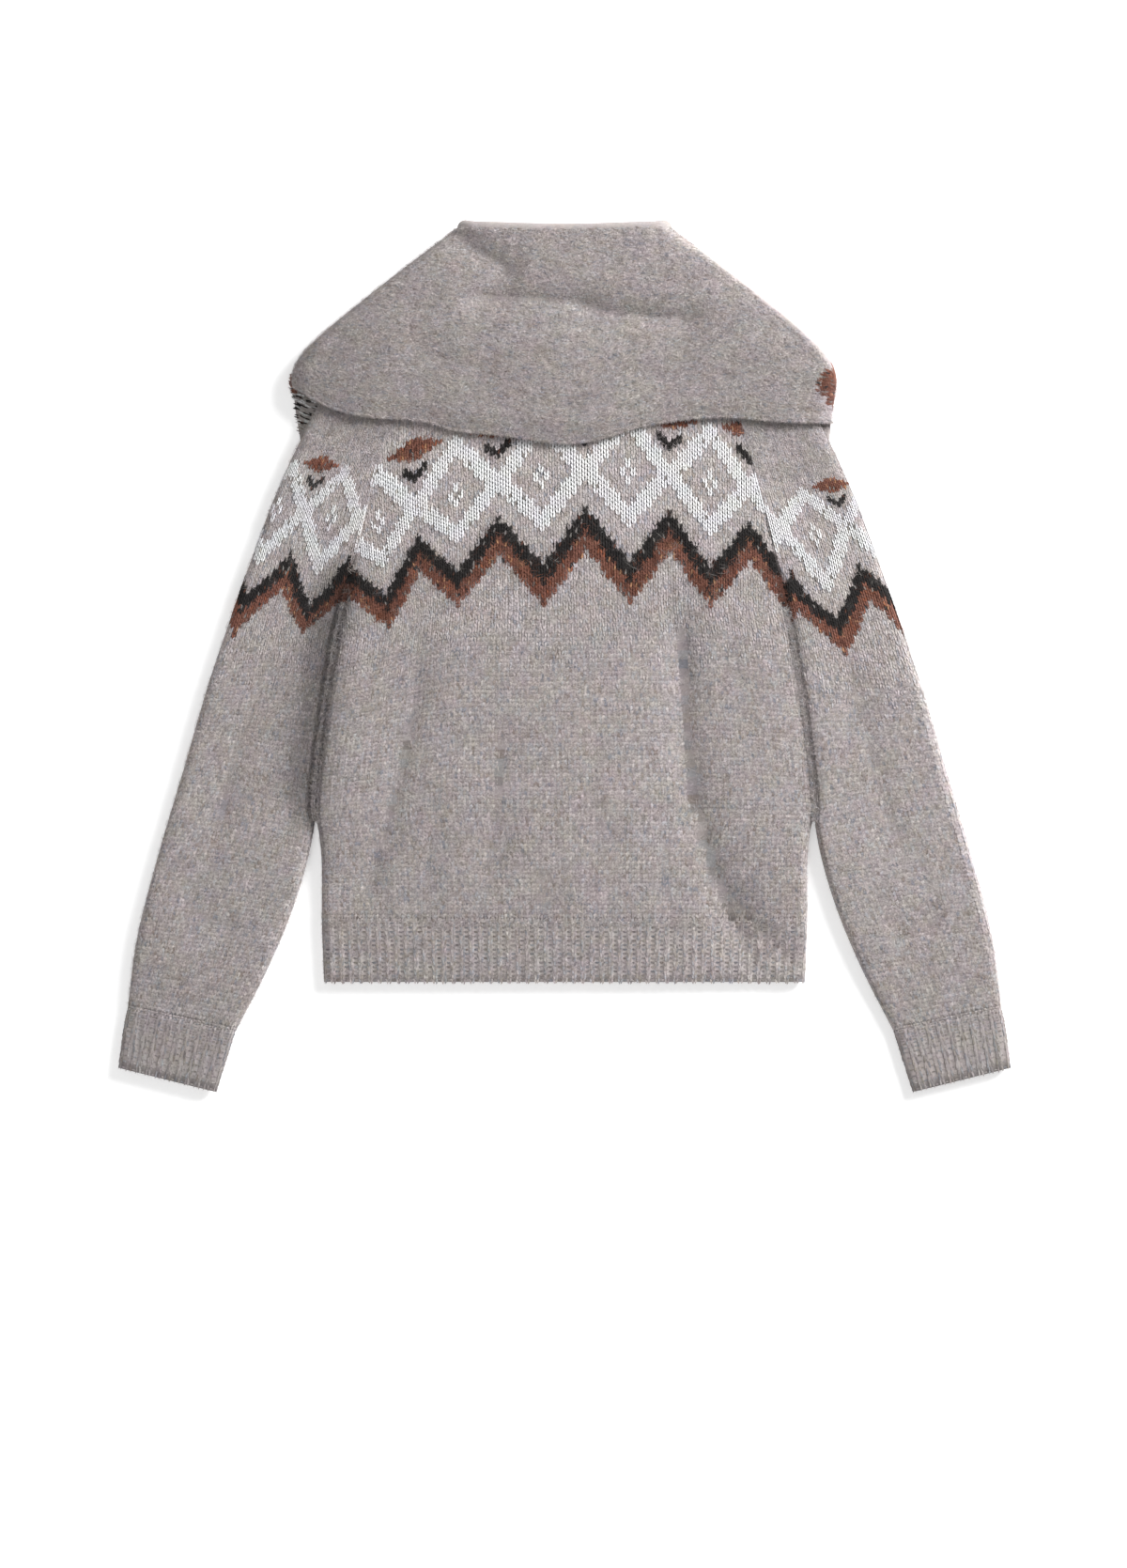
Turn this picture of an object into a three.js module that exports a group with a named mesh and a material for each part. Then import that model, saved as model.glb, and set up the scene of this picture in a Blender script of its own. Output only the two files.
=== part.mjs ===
// A knitted shawl-collar cardigan, laid out flat with its back upwards.
// Millimetres. The garment lies on the XY plane, +Z is up off the surface, +Y runs from hem to collar.
// Every piece is a wall of brushed knit: a grid of outer points over a grid of inner points, closed by rims.
import * as THREE from 'three';

// ---- cloth ----------------------------------------------------------------------------------------
const WALL = 3;              // thickness of the brushed knit
const SEAM = 0.3;            // parting between pieces that are joined
const LAYER = 0.6;           // air between pieces that lie on each other
const ROLL = 9;              // how far in from an edge the tube of cloth starts to round over
const RIB_HEIGHT = 1.3;      // crown of a rib above its furrow
const QUARTER = Math.PI / 2;

// ---- body -----------------------------------------------------------------------------------------
const HEM_Y = -300;
const HEM_RIB_LENGTH = 56;
const HEM_RIBS = 53;
const UNDERARM_Y = 51;
const ARMHOLE_OPENS = 50;    // over this length above the underarm the side roll opens into the armhole
const SHOULDER = { x: 146, y: 290 };
const NECK = { x: 78, y: 306 };
const FRONT_EDGE_X = 1.5;    // half the parting of the two fronts
const V_POINT = { x: 4, y: 165 };

// side of the body and then the armhole, half width at each height
const SIDE_EDGE = [
  { y: -300, x: 223 },
  { y: -244, x: 225 },
  { y: -190, x: 225 },
  { y: -165, x: 227 },
  { y: -140, x: 231 },
  { y: -70, x: 224 },
  { y: 10, x: 212 },
  { y: 51, x: 203 },
  { y: 115, x: 188 },
  { y: 165, x: 175.5 },
  { y: 213, x: 162 },
  { y: 250, x: 153 },
  { y: 290, x: 146 },
];

// height of the upper cloth above the surface, over the body and over a sleeve
const LOFT = [
  { y: -405, body: 9.5, sleeve: 9.4 },
  { y: -330, body: 9.5, sleeve: 9.6 },
  { y: -300, body: 9.5, sleeve: 10.4 },
  { y: -244, body: 10.6, sleeve: 12 },
  { y: -150, body: 14, sleeve: 13 },
  { y: 0, body: 15.5, sleeve: 13.4 },
  { y: 100, body: 16, sleeve: 13.6 },
  { y: 200, body: 17, sleeve: 15 },
  { y: 306, body: 13, sleeve: 11 },
];
const SEAM_BLEND = 40;       // the body's and the sleeve's heights meet over this distance from the armhole
const SHOULDER_LOFT = 9.9;   // the two shoulders lie on each other
const SHOULDER_FALL = 45;    // distance over which the back comes down to them

// the largest folds, each a soft trough from one place to another
const FOLDS = [
  { x0: 112, y0: 50, x1: 175, y1: -285, bow: 25, width: 13, depth: 5.6 },
  { x0: -131, y0: 10, x1: -190, y1: -240, bow: -7, width: 11, depth: 3.2 },
  { x0: -56, y0: -60, x1: -70, y1: -215, bow: 0, width: 12, depth: 1.8 },
  { x0: 26, y0: -70, x1: 34, y1: -200, bow: 3, width: 18, depth: 1 },
  { x0: -262, y0: 20, x1: -330, y1: -230, bow: 10, width: 15, depth: 2 },
  { x0: 262, y0: 40, x1: 318, y1: -190, bow: 12, width: 16, depth: 1.8 },
  { x0: 350, y0: -240, x1: 300, y1: -262, bow: -4, width: 12, depth: 1.6 },
  { x0: -352, y0: -228, x1: -300, y1: -250, bow: 5, width: 12, depth: 1.6 },
];
const FOLD_FAR_SIDE = 2.2;   // a fold is this much wider on its flatter side
// beside the left sleeve the body rises and the sleeve drops; the right sleeve lies a little above it
const SIDE_VALLEY = {
  left: { rise: 3.4, drop: 6, reach: 22 },
  right: { rise: -2, drop: -1.4, reach: 14 },
  bodyReach: 18,
  below: [-215, -120],
  above: [45, 95],
};

// ---- sleeves --------------------------------------------------------------------------------------
// each row joins the body side of a sleeve to its outer fold, from the shoulder down to the cuff
const SLEEVE_ROWS = [
  { innerX: 149, innerY: 286, outerX: 169, outerY: 289 },
  { innerX: 151, innerY: 258, outerX: 205, outerY: 266 },
  { innerX: 158, innerY: 221, outerX: 228, outerY: 233 },
  { innerX: 169, innerY: 186, outerX: 248, outerY: 194 },
  { innerX: 184, innerY: 132, outerX: 270, outerY: 145 },
  { innerX: 203, innerY: 51, outerX: 290, outerY: 92 },
  { innerX: 215, innerY: -5, outerX: 307, outerY: 44 },
  { innerX: 225, innerY: -75, outerX: 330, outerY: -24 },
  { innerX: 231, innerY: -157, outerX: 353, outerY: -103 },
  { innerX: 247, innerY: -222, outerX: 377, outerY: -184 },
  { innerX: 272, innerY: -284, outerX: 396, outerY: -258 },
  { innerX: 303, innerY: -345, outerX: 405, outerY: -323 },
];
const UNDERARM_ROW = 5;
const CUFF_ROWS = [
  { innerX: 303.1, innerY: -345.3, outerX: 405.1, outerY: -323.3 },
  { innerX: 309, innerY: -364, outerX: 409, outerY: -341 },
  { innerX: 321, innerY: -402, outerX: 414, outerY: -379 },
];
const CUFF_RIBS = 11;

// ---- collar ---------------------------------------------------------------------------------------
const COLLAR_TOP_DIP = 2.6;  // the fold sags this much at the centre back
const COLLAR_LOFT = 21.5;    // height of the upper fall above the surface
const COLLAR_SWELL = 2;      // and how much more it swells halfway down
const COLLAR_END_DROP = 1.5; // its free edge lies this much lower again
const COLLAR_EDGE_DROP = 5;  // how much lower it is beside its outer folds
const STAND_LOFT = 13;       // height of the standing part at the back of the neck
const STAND_HALF = 88;       // half width of the standing part under the fold
const FALL_ROLL = 15;
const STAND_ROLL = 9;
const FRONT_ROLL_END = { x: 4, y: 190 };
const FRONT_FALL_TOP = WALL + LAYER;  // the garment lies on the front fall here
const FRONT_FALL_RAMP = { from: 112, to: 144 };
// outer fold of the flattened collar, from the top corner to the point below the shoulder
const SIDE_FOLD = [
  [100, 397.5], [144, 364], [188, 329.5], [227, 297], [246, 276], [252.5, 258], [250.5, 240], [247.5, 216],
];
const SIDE_FOLD_REACH = { left: 0.79, right: 1 };
// free edge of the fall across the back
const FREE_EDGE = [
  { x: -250, y: 249 },
  { x: -235, y: 240 },
  { x: -213, y: 229 },
  { x: -184, y: 222 },
  { x: -129, y: 217 },
  { x: -102, y: 209 },
  { x: -56, y: 204 },
  { x: -3, y: 197 },
  { x: 31, y: 200 },
  { x: 70, y: 212 },
  { x: 137, y: 221 },
  { x: 204, y: 217 },
  { x: 248, y: 216 },
];
// free edge of the fall under the fronts, centre front to the point
const FRONT_FREE_EDGE = [[4, 152], [110, 154], [196, 168], [236, 186], [246, 202]];

// ---- small helpers --------------------------------------------------------------------------------
const clamp01 = (t) => Math.min(1, Math.max(0, t));
const lerp = (a, b, t) => a + (b - a) * t;
const ease = (from, to, at) => {
  const t = clamp01((at - from) / (to - from));
  return t * t * (3 - 2 * t);
};

// smooth reading of one column of a table whose rows run in order of another
function readTable(table, key, column, at) {
  const last = table.length - 1;
  const rising = table[last][key] > table[0][key];
  let k = 0;
  while (k < last - 1 && (rising ? at > table[k + 1][key] : at < table[k + 1][key])) k += 1;
  const [a, b] = [table[k], table[k + 1]];
  const span = b[key] - a[key];
  const slope = (i) => {
    const low = table[Math.max(0, i - 1)];
    const high = table[Math.min(last, i + 1)];
    return (high[column] - low[column]) / (high[key] - low[key]);
  };
  const t = clamp01((at - a[key]) / span);
  const [t2, t3] = [t * t, t * t * t];
  return a[column] * (2 * t3 - 3 * t2 + 1) + b[column] * (3 * t2 - 2 * t3)
    + span * (slope(k) * (t3 - 2 * t2 + t) + slope(k + 1) * (t3 - t2));
}

const sideEdge = (y) => readTable(SIDE_EDGE, 'y', 'x', y);
const openness = (y) => ease(UNDERARM_Y, UNDERARM_Y + ARMHOLE_OPENS, y);
const underside = (y) => FRONT_FALL_TOP * ease(FRONT_FALL_RAMP.from, FRONT_FALL_RAMP.to, y);

function foldDepth(x, y) {
  let depth = 0;
  for (const fold of FOLDS) {
    const run = new THREE.Vector2(fold.x1 - fold.x0, fold.y1 - fold.y0);
    const length = run.length();
    run.divideScalar(length);
    const along = ((x - fold.x0) * run.x + (y - fold.y0) * run.y) / length;
    const bow = fold.bow * 4 * along * (1 - along);
    const across = (x - fold.x0) * run.y - (y - fold.y0) * run.x - bow;
    const ends = ease(-0.12, 0.2, along) * (1 - ease(0.8, 1.12, along));
    const reach = Math.hypot(across, 2) - 2;
    const width = across < 0 ? fold.width : FOLD_FAR_SIDE * fold.width;
    depth += fold.depth * ends * Math.exp(-reach / width);
  }
  return depth;
}

// how much lower the cloth is than its loft where body and sleeve lie side by side
function valleyDepth(part, x, y) {
  const { below, above, bodyReach } = SIDE_VALLEY;
  const { rise, drop, reach } = x < 0 ? SIDE_VALLEY.left : SIDE_VALLEY.right;
  const window = ease(below[0], below[1], y) * (1 - ease(above[0], above[1], y));
  const out = Math.abs(x) - sideEdge(Math.min(y, SHOULDER.y));
  if (part === 'body') return -rise * window * Math.exp(Math.min(out, 0) / bodyReach);
  return drop * window * Math.exp(-Math.max(out, 0) / reach);
}

// height of the upper cloth at a place on the body or on a sleeve
function upperHeight(part, x, y) {
  const edge = sideEdge(Math.min(y, SHOULDER.y));
  const far = Math.abs(x);
  const body = readTable(LOFT, 'y', 'body', y);
  const sleeve = readTable(LOFT, 'y', 'sleeve', y);
  const half = 0.5 * openness(y);
  const share = part === 'body'
    ? half * ease(edge - SEAM_BLEND, edge, far)
    : 1 - half * (1 - ease(edge, edge + SEAM_BLEND, far));
  let height = lerp(body, sleeve, share);
  if (part === 'body') {
    const slope = (NECK.y - SHOULDER.y) / (SHOULDER.x - NECK.x);
    const shoulderY = NECK.y - slope * Math.max(0, far - NECK.x);
    const beside = ease(NECK.x - 25, NECK.x + 15, far);
    const near = 1 - clamp01((shoulderY - y) / SHOULDER_FALL);
    height = lerp(height, SHOULDER_LOFT, beside * near * near);
  }
  const coverless = 1 - ease(150, 195, y);
  return height - valleyDepth(part, x, y) - foldDepth(x, y) * coverless;
}

// ---- mesh of a wall of cloth ----------------------------------------------------------------------
// outer(i, j) and inner(i, j) give points; from row `closedFrom` on, the first and last columns are one
function clothWall(rows, columns, outer, inner, closedFrom = Infinity) {
  const positions = [];
  const index = [];
  const keys = new Map();
  const point = (p) => {
    const key = p.map((c) => Math.round(c * 500)).join();
    if (!keys.has(key)) {
      keys.set(key, positions.length / 3);
      positions.push(...p);
    }
    return keys.get(key);
  };
  const triangle = (a, b, c) => {
    if (a !== b && b !== c && a !== c) index.push(a, b, c);
  };
  const quad = (a, b, c, d) => {
    triangle(a, b, c);
    triangle(a, c, d);
  };
  const grid = (make) => Array.from({ length: rows + 1 }, (_, i) => (
    Array.from({ length: columns + 1 }, (__, j) => point(make(i, j)))
  ));
  const [out, inn] = [grid(outer), grid(inner)];
  for (let i = 0; i < rows; i += 1) {
    for (let j = 0; j < columns; j += 1) {
      quad(out[i][j], out[i][j + 1], out[i + 1][j + 1], out[i + 1][j]);
      quad(inn[i][j], inn[i + 1][j], inn[i + 1][j + 1], inn[i][j + 1]);
    }
    if (i < closedFrom) {
      quad(out[i][0], out[i + 1][0], inn[i + 1][0], inn[i][0]);
      quad(out[i][columns], inn[i][columns], inn[i + 1][columns], out[i + 1][columns]);
    }
  }
  for (let j = 0; j < columns; j += 1) {
    quad(out[0][j], inn[0][j], inn[0][j + 1], out[0][j + 1]);
    quad(out[rows][j], out[rows][j + 1], inn[rows][j + 1], inn[rows][j]);
  }
  const geometry = new THREE.BufferGeometry();
  geometry.setAttribute('position', new THREE.Float32BufferAttribute(positions, 3));
  geometry.setIndex(facingOut(positions, index));
  geometry.computeVertexNormals();
  return geometry;
}

// turns every face round if the closed mesh encloses a negative volume
function facingOut(positions, index) {
  const at = (k) => new THREE.Vector3().fromArray(positions, 3 * k);
  let volume = 0;
  for (let k = 0; k < index.length; k += 3) {
    volume += at(index[k]).dot(at(index[k + 1]).cross(at(index[k + 2])));
  }
  if (volume > 0) return index;
  const turned = [];
  for (let k = 0; k < index.length; k += 3) turned.push(index[k], index[k + 2], index[k + 1]);
  return turned;
}

// a point of a flattened tube: `turn` is the angle of its wall, a quarter on top, none at the edge
function wallPoint({ x, y, outX, outY, turn, low, high, depth }) {
  const middle = (low + high) / 2;
  const half = (high - low) / 2;
  const inward = depth * Math.cos(turn);
  return [x - outX * inward, y - outY * inward, middle + (half - depth) * Math.sin(turn)];
}

// ---- back, fronts and hem -------------------------------------------------------------------------
// place across the body: t runs from 0 at the centre to 1 at the side seam or armhole
function acrossBody(y, t) {
  const edgeTurn = QUARTER * openness(y);
  const edge = sideEdge(y);
  const flat = edge - ROLL * Math.cos(edgeTurn);
  const arc = (QUARTER - edgeTurn) * 0.5 * (ROLL + 7);
  const reach = t * (flat + arc);
  if (reach <= flat) return { x: reach, turn: QUARTER };
  const turn = QUARTER - ((reach - flat) / arc) * (QUARTER - edgeTurn);
  return { x: edge - ROLL * (Math.cos(edgeTurn) - Math.cos(turn)), turn };
}

const EDGE_CROWDING = 1.55;  // columns draw together towards the edges
const crowded = (k, count) => 1 - (1 - k / count) ** EDGE_CROWDING;

function bodyPoint(x, y, turn, side, depth, rib = 0) {
  const low = underside(y);
  const high = upperHeight('body', x, y);
  const half = SEAM / 2;
  const place = { x, y, outX: Math.sign(x), outY: 0, turn, low, high, depth };
  const p = wallPoint(place);
  p[0] += Math.sign(x) * rib * Math.cos(turn);
  p[2] += rib * Math.sin(turn);
  p[2] = side > 0 ? Math.max(p[2], (low + high) / 2 + half) : Math.min(p[2], (low + high) / 2 - half);
  return p;
}

function backPanel() {
  const bottom = HEM_Y + HEM_RIB_LENGTH + SEAM;
  const rows = 26;
  const half = 14;
  const shoulderSlope = (NECK.y - SHOULDER.y) / (SHOULDER.x - NECK.x);
  const make = (depth) => (i, j) => {
    const rowY = lerp(bottom, SHOULDER.y, i / rows);
    const side = Math.sign(j - half) || 1;
    const { x, turn } = acrossBody(rowY, crowded(Math.abs(j - half), half));
    const reach = (x * SHOULDER.x) / sideEdge(rowY);
    const top = NECK.y - shoulderSlope * Math.max(0, reach - NECK.x);
    const y = rowY + (top - SHOULDER.y) * ease(150, SHOULDER.y, rowY);
    return bodyPoint(side * x, y, turn, 1, depth);
  };
  return clothWall(rows, 2 * half, make(0), make(WALL));
}

function frontPanel(side) {
  const bottom = HEM_Y + HEM_RIB_LENGTH + SEAM;
  const rowsToV = 12;
  const rowsAbove = 5;
  const columns = 8;
  const make = (depth) => (i, j) => {
    const climb = Math.max(0, (i - rowsToV) / rowsAbove);
    const rowY = climb > 0 ? lerp(V_POINT.y, SHOULDER.y, climb) : lerp(bottom, V_POINT.y, i / rowsToV);
    const { x: reach, turn } = acrossBody(rowY, crowded(j, columns));
    const innerX = i < rowsToV ? FRONT_EDGE_X : lerp(V_POINT.x, NECK.x, climb);
    const innerY = i < rowsToV ? rowY : lerp(V_POINT.y, NECK.y, climb);
    const share = reach / sideEdge(rowY);
    const x = lerp(innerX, sideEdge(rowY), share);
    const y = lerp(innerY, rowY, share);
    return bodyPoint(side * x, y, -turn, -1, depth);
  };
  return clothWall(rowsToV + rowsAbove, columns, make(0), make(WALL));
}

// a rib's outline across its own width: a narrow furrow, then a flat crown
const RIB_POINTS = 3;
const ribHeight = (k) => (k % RIB_POINTS === 0 ? 0 : RIB_HEIGHT);

function backHemRib() {
  const rows = 3;
  const columns = HEM_RIBS * RIB_POINTS;
  const make = (depth) => (i, j) => {
    const y = lerp(HEM_Y, HEM_Y + HEM_RIB_LENGTH, i / rows);
    const t = (2 * j) / columns - 1;
    const { x, turn } = acrossBody(y, Math.abs(t));
    const edge = j === 0 || j === columns;
    const rib = depth || edge ? 0 : ribHeight(j) - RIB_HEIGHT / 2;
    return bodyPoint(Math.sign(t) * x, y, turn, 1, depth, rib);
  };
  return clothWall(rows, columns, make(0), make(WALL));
}

function frontHemRib(side) {
  const rows = 2;
  const columns = 8;
  const make = (depth) => (i, j) => {
    const y = lerp(HEM_Y, HEM_Y + HEM_RIB_LENGTH, i / rows);
    const { x: reach, turn } = acrossBody(y, crowded(j, columns));
    const x = lerp(FRONT_EDGE_X, sideEdge(y), reach / sideEdge(y));
    return bodyPoint(side * x, y, -turn, -1, depth);
  };
  return clothWall(rows, columns, make(0), make(WALL));
}

// ---- sleeves and cuffs ----------------------------------------------------------------------------
// place round a half of a flattened sleeve: t runs from the body side to the outer fold
function acrossSleeve(width, edgeTurn, roll, t) {
  const radius = 0.5 * (roll + 6);
  const innerArc = (QUARTER - edgeTurn) * radius;
  const outerArc = QUARTER * radius;
  const innerRoll = roll * Math.cos(edgeTurn);
  const flat = width - roll - innerRoll;
  const reach = t * (innerArc + flat + outerArc);
  if (reach < innerArc) {
    const turn = edgeTurn + (reach / innerArc) * (QUARTER - edgeTurn);
    return { across: roll * (Math.cos(edgeTurn) - Math.cos(turn)), turn, out: -1 };
  }
  if (reach <= innerArc + flat) return { across: innerRoll + reach - innerArc, turn: QUARTER, out: 1 };
  const turn = QUARTER * (1 - (reach - innerArc - flat) / outerArc);
  return { across: width - roll + roll * Math.cos(turn), turn, out: 1 };
}

const bothEndsCrowded = (t) => lerp(t, (1 - Math.cos(Math.PI * t)) / 2, 0.7);

// one row of a sleeve: where it starts beside the body, its direction and its width
function sleeveRow(table, at) {
  const indexed = table.map((row, k) => ({ ...row, k }));
  const read = (column) => readTable(indexed, 'k', column, at);
  const innerY = read('innerY');
  const clear = sideEdge(Math.max(innerY, HEM_Y)) + (innerY > UNDERARM_Y ? SEAM : LAYER);
  const slit = innerY >= UNDERARM_Y - 0.01;
  const innerX = slit ? sideEdge(innerY) + SEAM : Math.max(read('innerX'), clear);
  const run = new THREE.Vector2(read('outerX') - innerX, read('outerY') - innerY);
  const width = run.length();
  run.divideScalar(width);
  return { innerX, innerY, run, width };
}

function sleevePoint(side, row, half, t, depth, rib = 0) {
  const edgeTurn = QUARTER * openness(row.innerY);
  const roll = Math.min(ROLL, row.width / 3);
  const { across, turn, out } = acrossSleeve(row.width, edgeTurn, roll, t);
  const x = side * (row.innerX + across * row.run.x);
  const y = row.innerY + across * row.run.y;
  const high = upperHeight('sleeve', x, y);
  const low = underside(y);
  const outX = side * out * row.run.x;
  const outY = out * row.run.y;
  return wallPoint({ x, y, outX, outY, turn: half * turn, low, high, depth: depth - rib });
}

function sleeve(side) {
  const upper = 11;
  const lower = 7;
  const steps = [];
  for (let k = 0; k < SLEEVE_ROWS.length - 1; k += 1) {
    const parts = k < UNDERARM_ROW ? 2 : 3;
    for (let s = 0; s < parts; s += 1) steps.push(k + s / parts);
  }
  steps.push(SLEEVE_ROWS.length - 1);
  const closedFrom = 2 * UNDERARM_ROW;
  const rows = steps.map((at) => sleeveRow(SLEEVE_ROWS, at));
  const make = (depth) => (i, j) => {
    const half = j <= upper ? 1 : -1;
    const t = j <= upper ? j / upper : 1 - (j - upper) / lower;
    return sleevePoint(side, rows[i], half, bothEndsCrowded(t), depth);
  };
  return clothWall(rows.length - 1, upper + lower, make(0), make(WALL), closedFrom);
}

function cuff(side) {
  const upper = CUFF_RIBS * RIB_POINTS;
  const lower = 7;
  const rowCount = 3;
  const rows = Array.from({ length: rowCount + 1 }, (_, i) => (
    sleeveRow(CUFF_ROWS, (i / rowCount) * (CUFF_ROWS.length - 1))
  ));
  const make = (depth) => (i, j) => {
    const half = j <= upper ? 1 : -1;
    const t = j <= upper ? j / upper : bothEndsCrowded(1 - (j - upper) / lower);
    const inside = j > 0 && j < upper;
    const rib = depth || !inside ? 0 : ribHeight(j) - RIB_HEIGHT / 2;
    return sleevePoint(side, rows[i], half, t, depth, rib);
  };
  return clothWall(rowCount, upper + lower, make(0), make(WALL), 0);
}

// ---- collar ---------------------------------------------------------------------------------------
const sideFoldCurve = new THREE.SplineCurve(SIDE_FOLD.map(([x, y]) => new THREE.Vector2(x, y)));
const frontFreeCurve = new THREE.SplineCurve(FRONT_FREE_EDGE.map(([x, y]) => new THREE.Vector2(x, y)));

// columns of the collar, from the centre front on one side round the back to the other
function collarColumns() {
  const half = [];
  for (const w of [0, 0.12, 0.24, 0.37, 0.5, 0.63, 0.76, 0.89]) half.push({ front: false, flat: w });
  for (const degrees of [90, 62, 34, 0, -34, -62, -90]) {
    half.push({ front: degrees < 0, turn: (degrees * Math.PI) / 180 });
  }
  for (const w of [0.8, 0.6, 0.4, 0.2, 0]) half.push({ front: true, flat: w });
  const right = half.map((c) => ({ ...c, side: 1 }));
  const left = half.slice(1).map((c) => ({ ...c, side: -1 })).reverse();
  return [...left, ...right];
}

// share of the way out to the side fold, and the angle of the wall there
function ringPlace(column, width, roll) {
  const start = 1 - roll / width;
  if (column.flat !== undefined) return { u: column.flat * start, turn: column.front ? -QUARTER : QUARTER };
  return { u: start + (1 - start) * Math.cos(column.turn), turn: column.turn };
}

// a point of the fall, f from 0 under the top fold to 1 at the free edge
function fallPoint(column, f, depth) {
  const sideName = column.side > 0 ? 'right' : 'left';
  const reach = SIDE_FOLD_REACH[sideName];
  const fold = sideFoldCurve.getPoint(f * reach);
  const tangent = sideFoldCurve.getTangent(f * reach);
  const { u, turn } = ringPlace(column, fold.x, FALL_ROLL);
  const foldEnd = sideFoldCurve.getPoint(reach);
  const [cornerX, cornerY] = SIDE_FOLD[0];
  const offX = fold.x - lerp(cornerX, foldEnd.x, f);
  const offY = fold.y - lerp(cornerY, foldEnd.y, f);
  let x;
  let y;
  if (column.front) {
    const end = frontFreeCurve.getPoint(u).lerp(foldEnd, ease(0.86, 1, u));
    x = lerp(lerp(FRONT_ROLL_END.x, cornerX, u), end.x, f) + offX * u ** 8;
    y = lerp(lerp(FRONT_ROLL_END.y, cornerY, u), end.y, f) + offY * u ** 8;
  } else {
    const topY = cornerY - COLLAR_TOP_DIP * Math.cos(QUARTER * u);
    const endY = readTable(FREE_EDGE, 'x', 'y', column.side * foldEnd.x * u);
    x = fold.x * u;
    y = lerp(topY, endY, f) + offY * u ** 6;
  }
  const high = COLLAR_LOFT + COLLAR_SWELL * Math.sin(Math.PI * f) - COLLAR_EDGE_DROP * u ** 6
    - COLLAR_END_DROP * ease(0.9, 1, f) * (1 - u * u);
  const outX = column.side * -tangent.y;
  const outY = tangent.x;
  return wallPoint({ x: column.side * x, y, outX, outY, turn, low: 0, high, depth });
}

// a point of the standing part, g from 0 at the neck seam to 1 under the top fold
function standPoint(column, g, depth) {
  const { u, turn } = ringPlace(column, lerp(NECK.x, STAND_HALF, g), STAND_ROLL);
  const topY = SIDE_FOLD[0][1];
  const seam = column.front
    ? [lerp(V_POINT.x, NECK.x, u) - SEAM, lerp(V_POINT.y, NECK.y, u) + SEAM]
    : [NECK.x * u, NECK.y + SEAM];
  const fold = column.front
    ? [lerp(FRONT_ROLL_END.x, STAND_HALF, u), lerp(FRONT_ROLL_END.y, topY, u)]
    : [STAND_HALF * u, topY - COLLAR_TOP_DIP * Math.cos(QUARTER * u)];
  const x = column.side * lerp(seam[0], fold[0], g);
  const y = lerp(seam[1], fold[1], g);
  return wallPoint({ x, y, outX: column.side, outY: 0, turn, low: FRONT_FALL_TOP, high: STAND_LOFT, depth });
}

function collar() {
  const columns = collarColumns();
  const standRows = 2;
  const rollRows = 4;
  const fallRows = 8;
  const rows = standRows + rollRows + fallRows;
  // the face seen on the fall is the one that lies inside the neck on the standing part
  const make = (seen) => (i, j) => {
    const column = columns[j];
    const fallDepth = seen ? 0 : WALL;
    const standDepth = seen ? WALL : 0;
    if (i <= standRows) return standPoint(column, i / standRows, standDepth);
    if (i >= standRows + rollRows) return fallPoint(column, (i - standRows - rollRows) / fallRows, fallDepth);
    const angle = (Math.PI * (i - standRows)) / rollRows;
    const from = new THREE.Vector3(...standPoint(column, 1, standDepth));
    const to = new THREE.Vector3(...fallPoint(column, 0, fallDepth));
    const radius = from.distanceTo(to) / 2;
    const point = from.clone().lerp(to, (1 - Math.cos(angle)) / 2);
    point.y += radius * Math.sin(angle);
    return point.toArray();
  };
  return clothWall(rows, columns.length - 1, make(true), make(false));
}

// ---- the garment ----------------------------------------------------------------------------------
const marledKnit = new THREE.MeshStandardMaterial({ color: 0x9d9391, roughness: 0.95, metalness: 0 });
const brushedKnit = new THREE.MeshStandardMaterial({ color: 0xa69d9b, roughness: 0.95, metalness: 0 });
const ribKnit = new THREE.MeshStandardMaterial({ color: 0x948a88, roughness: 0.95, metalness: 0 });

const garment = new THREE.Group();
function add(name, geometry, material) {
  const mesh = new THREE.Mesh(geometry, material);
  mesh.name = name;
  garment.add(mesh);
}

add('back', backPanel(), marledKnit);
add('back_hem_rib', backHemRib(), ribKnit);
for (const [name, side] of [['left', -1], ['right', 1]]) {
  add(`front_${name}`, frontPanel(side), marledKnit);
  add(`front_hem_rib_${name}`, frontHemRib(side), ribKnit);
  add(`sleeve_${name}`, sleeve(side), marledKnit);
  add(`cuff_${name}`, cuff(side), ribKnit);
}
add('collar', collar(), brushedKnit);

// the origin is the middle of the footprint, on the surface
const box = new THREE.Box3().setFromObject(garment);
const middle = box.getCenter(new THREE.Vector3());
garment.position.set(-middle.x, -middle.y, -box.min.z);

export default garment;
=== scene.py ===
# %% [markdown]
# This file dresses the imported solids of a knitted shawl-collar cardigan. The cardigan lies on its front,
# with its back up and its wide collar folded out over the yoke. It is knitted from brushed wool in a
# taupe-grey marl, with a band of white diamonds over a zigzag of charcoal and rust.
# Each panel becomes a thin closed sheet of cloth with real stitches laid on it and a nap of fine hairs.

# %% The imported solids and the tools
import math
from functools import partial
import bmesh
import bpy
import numpy as np
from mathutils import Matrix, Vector
from mathutils.kdtree import KDTree


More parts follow.
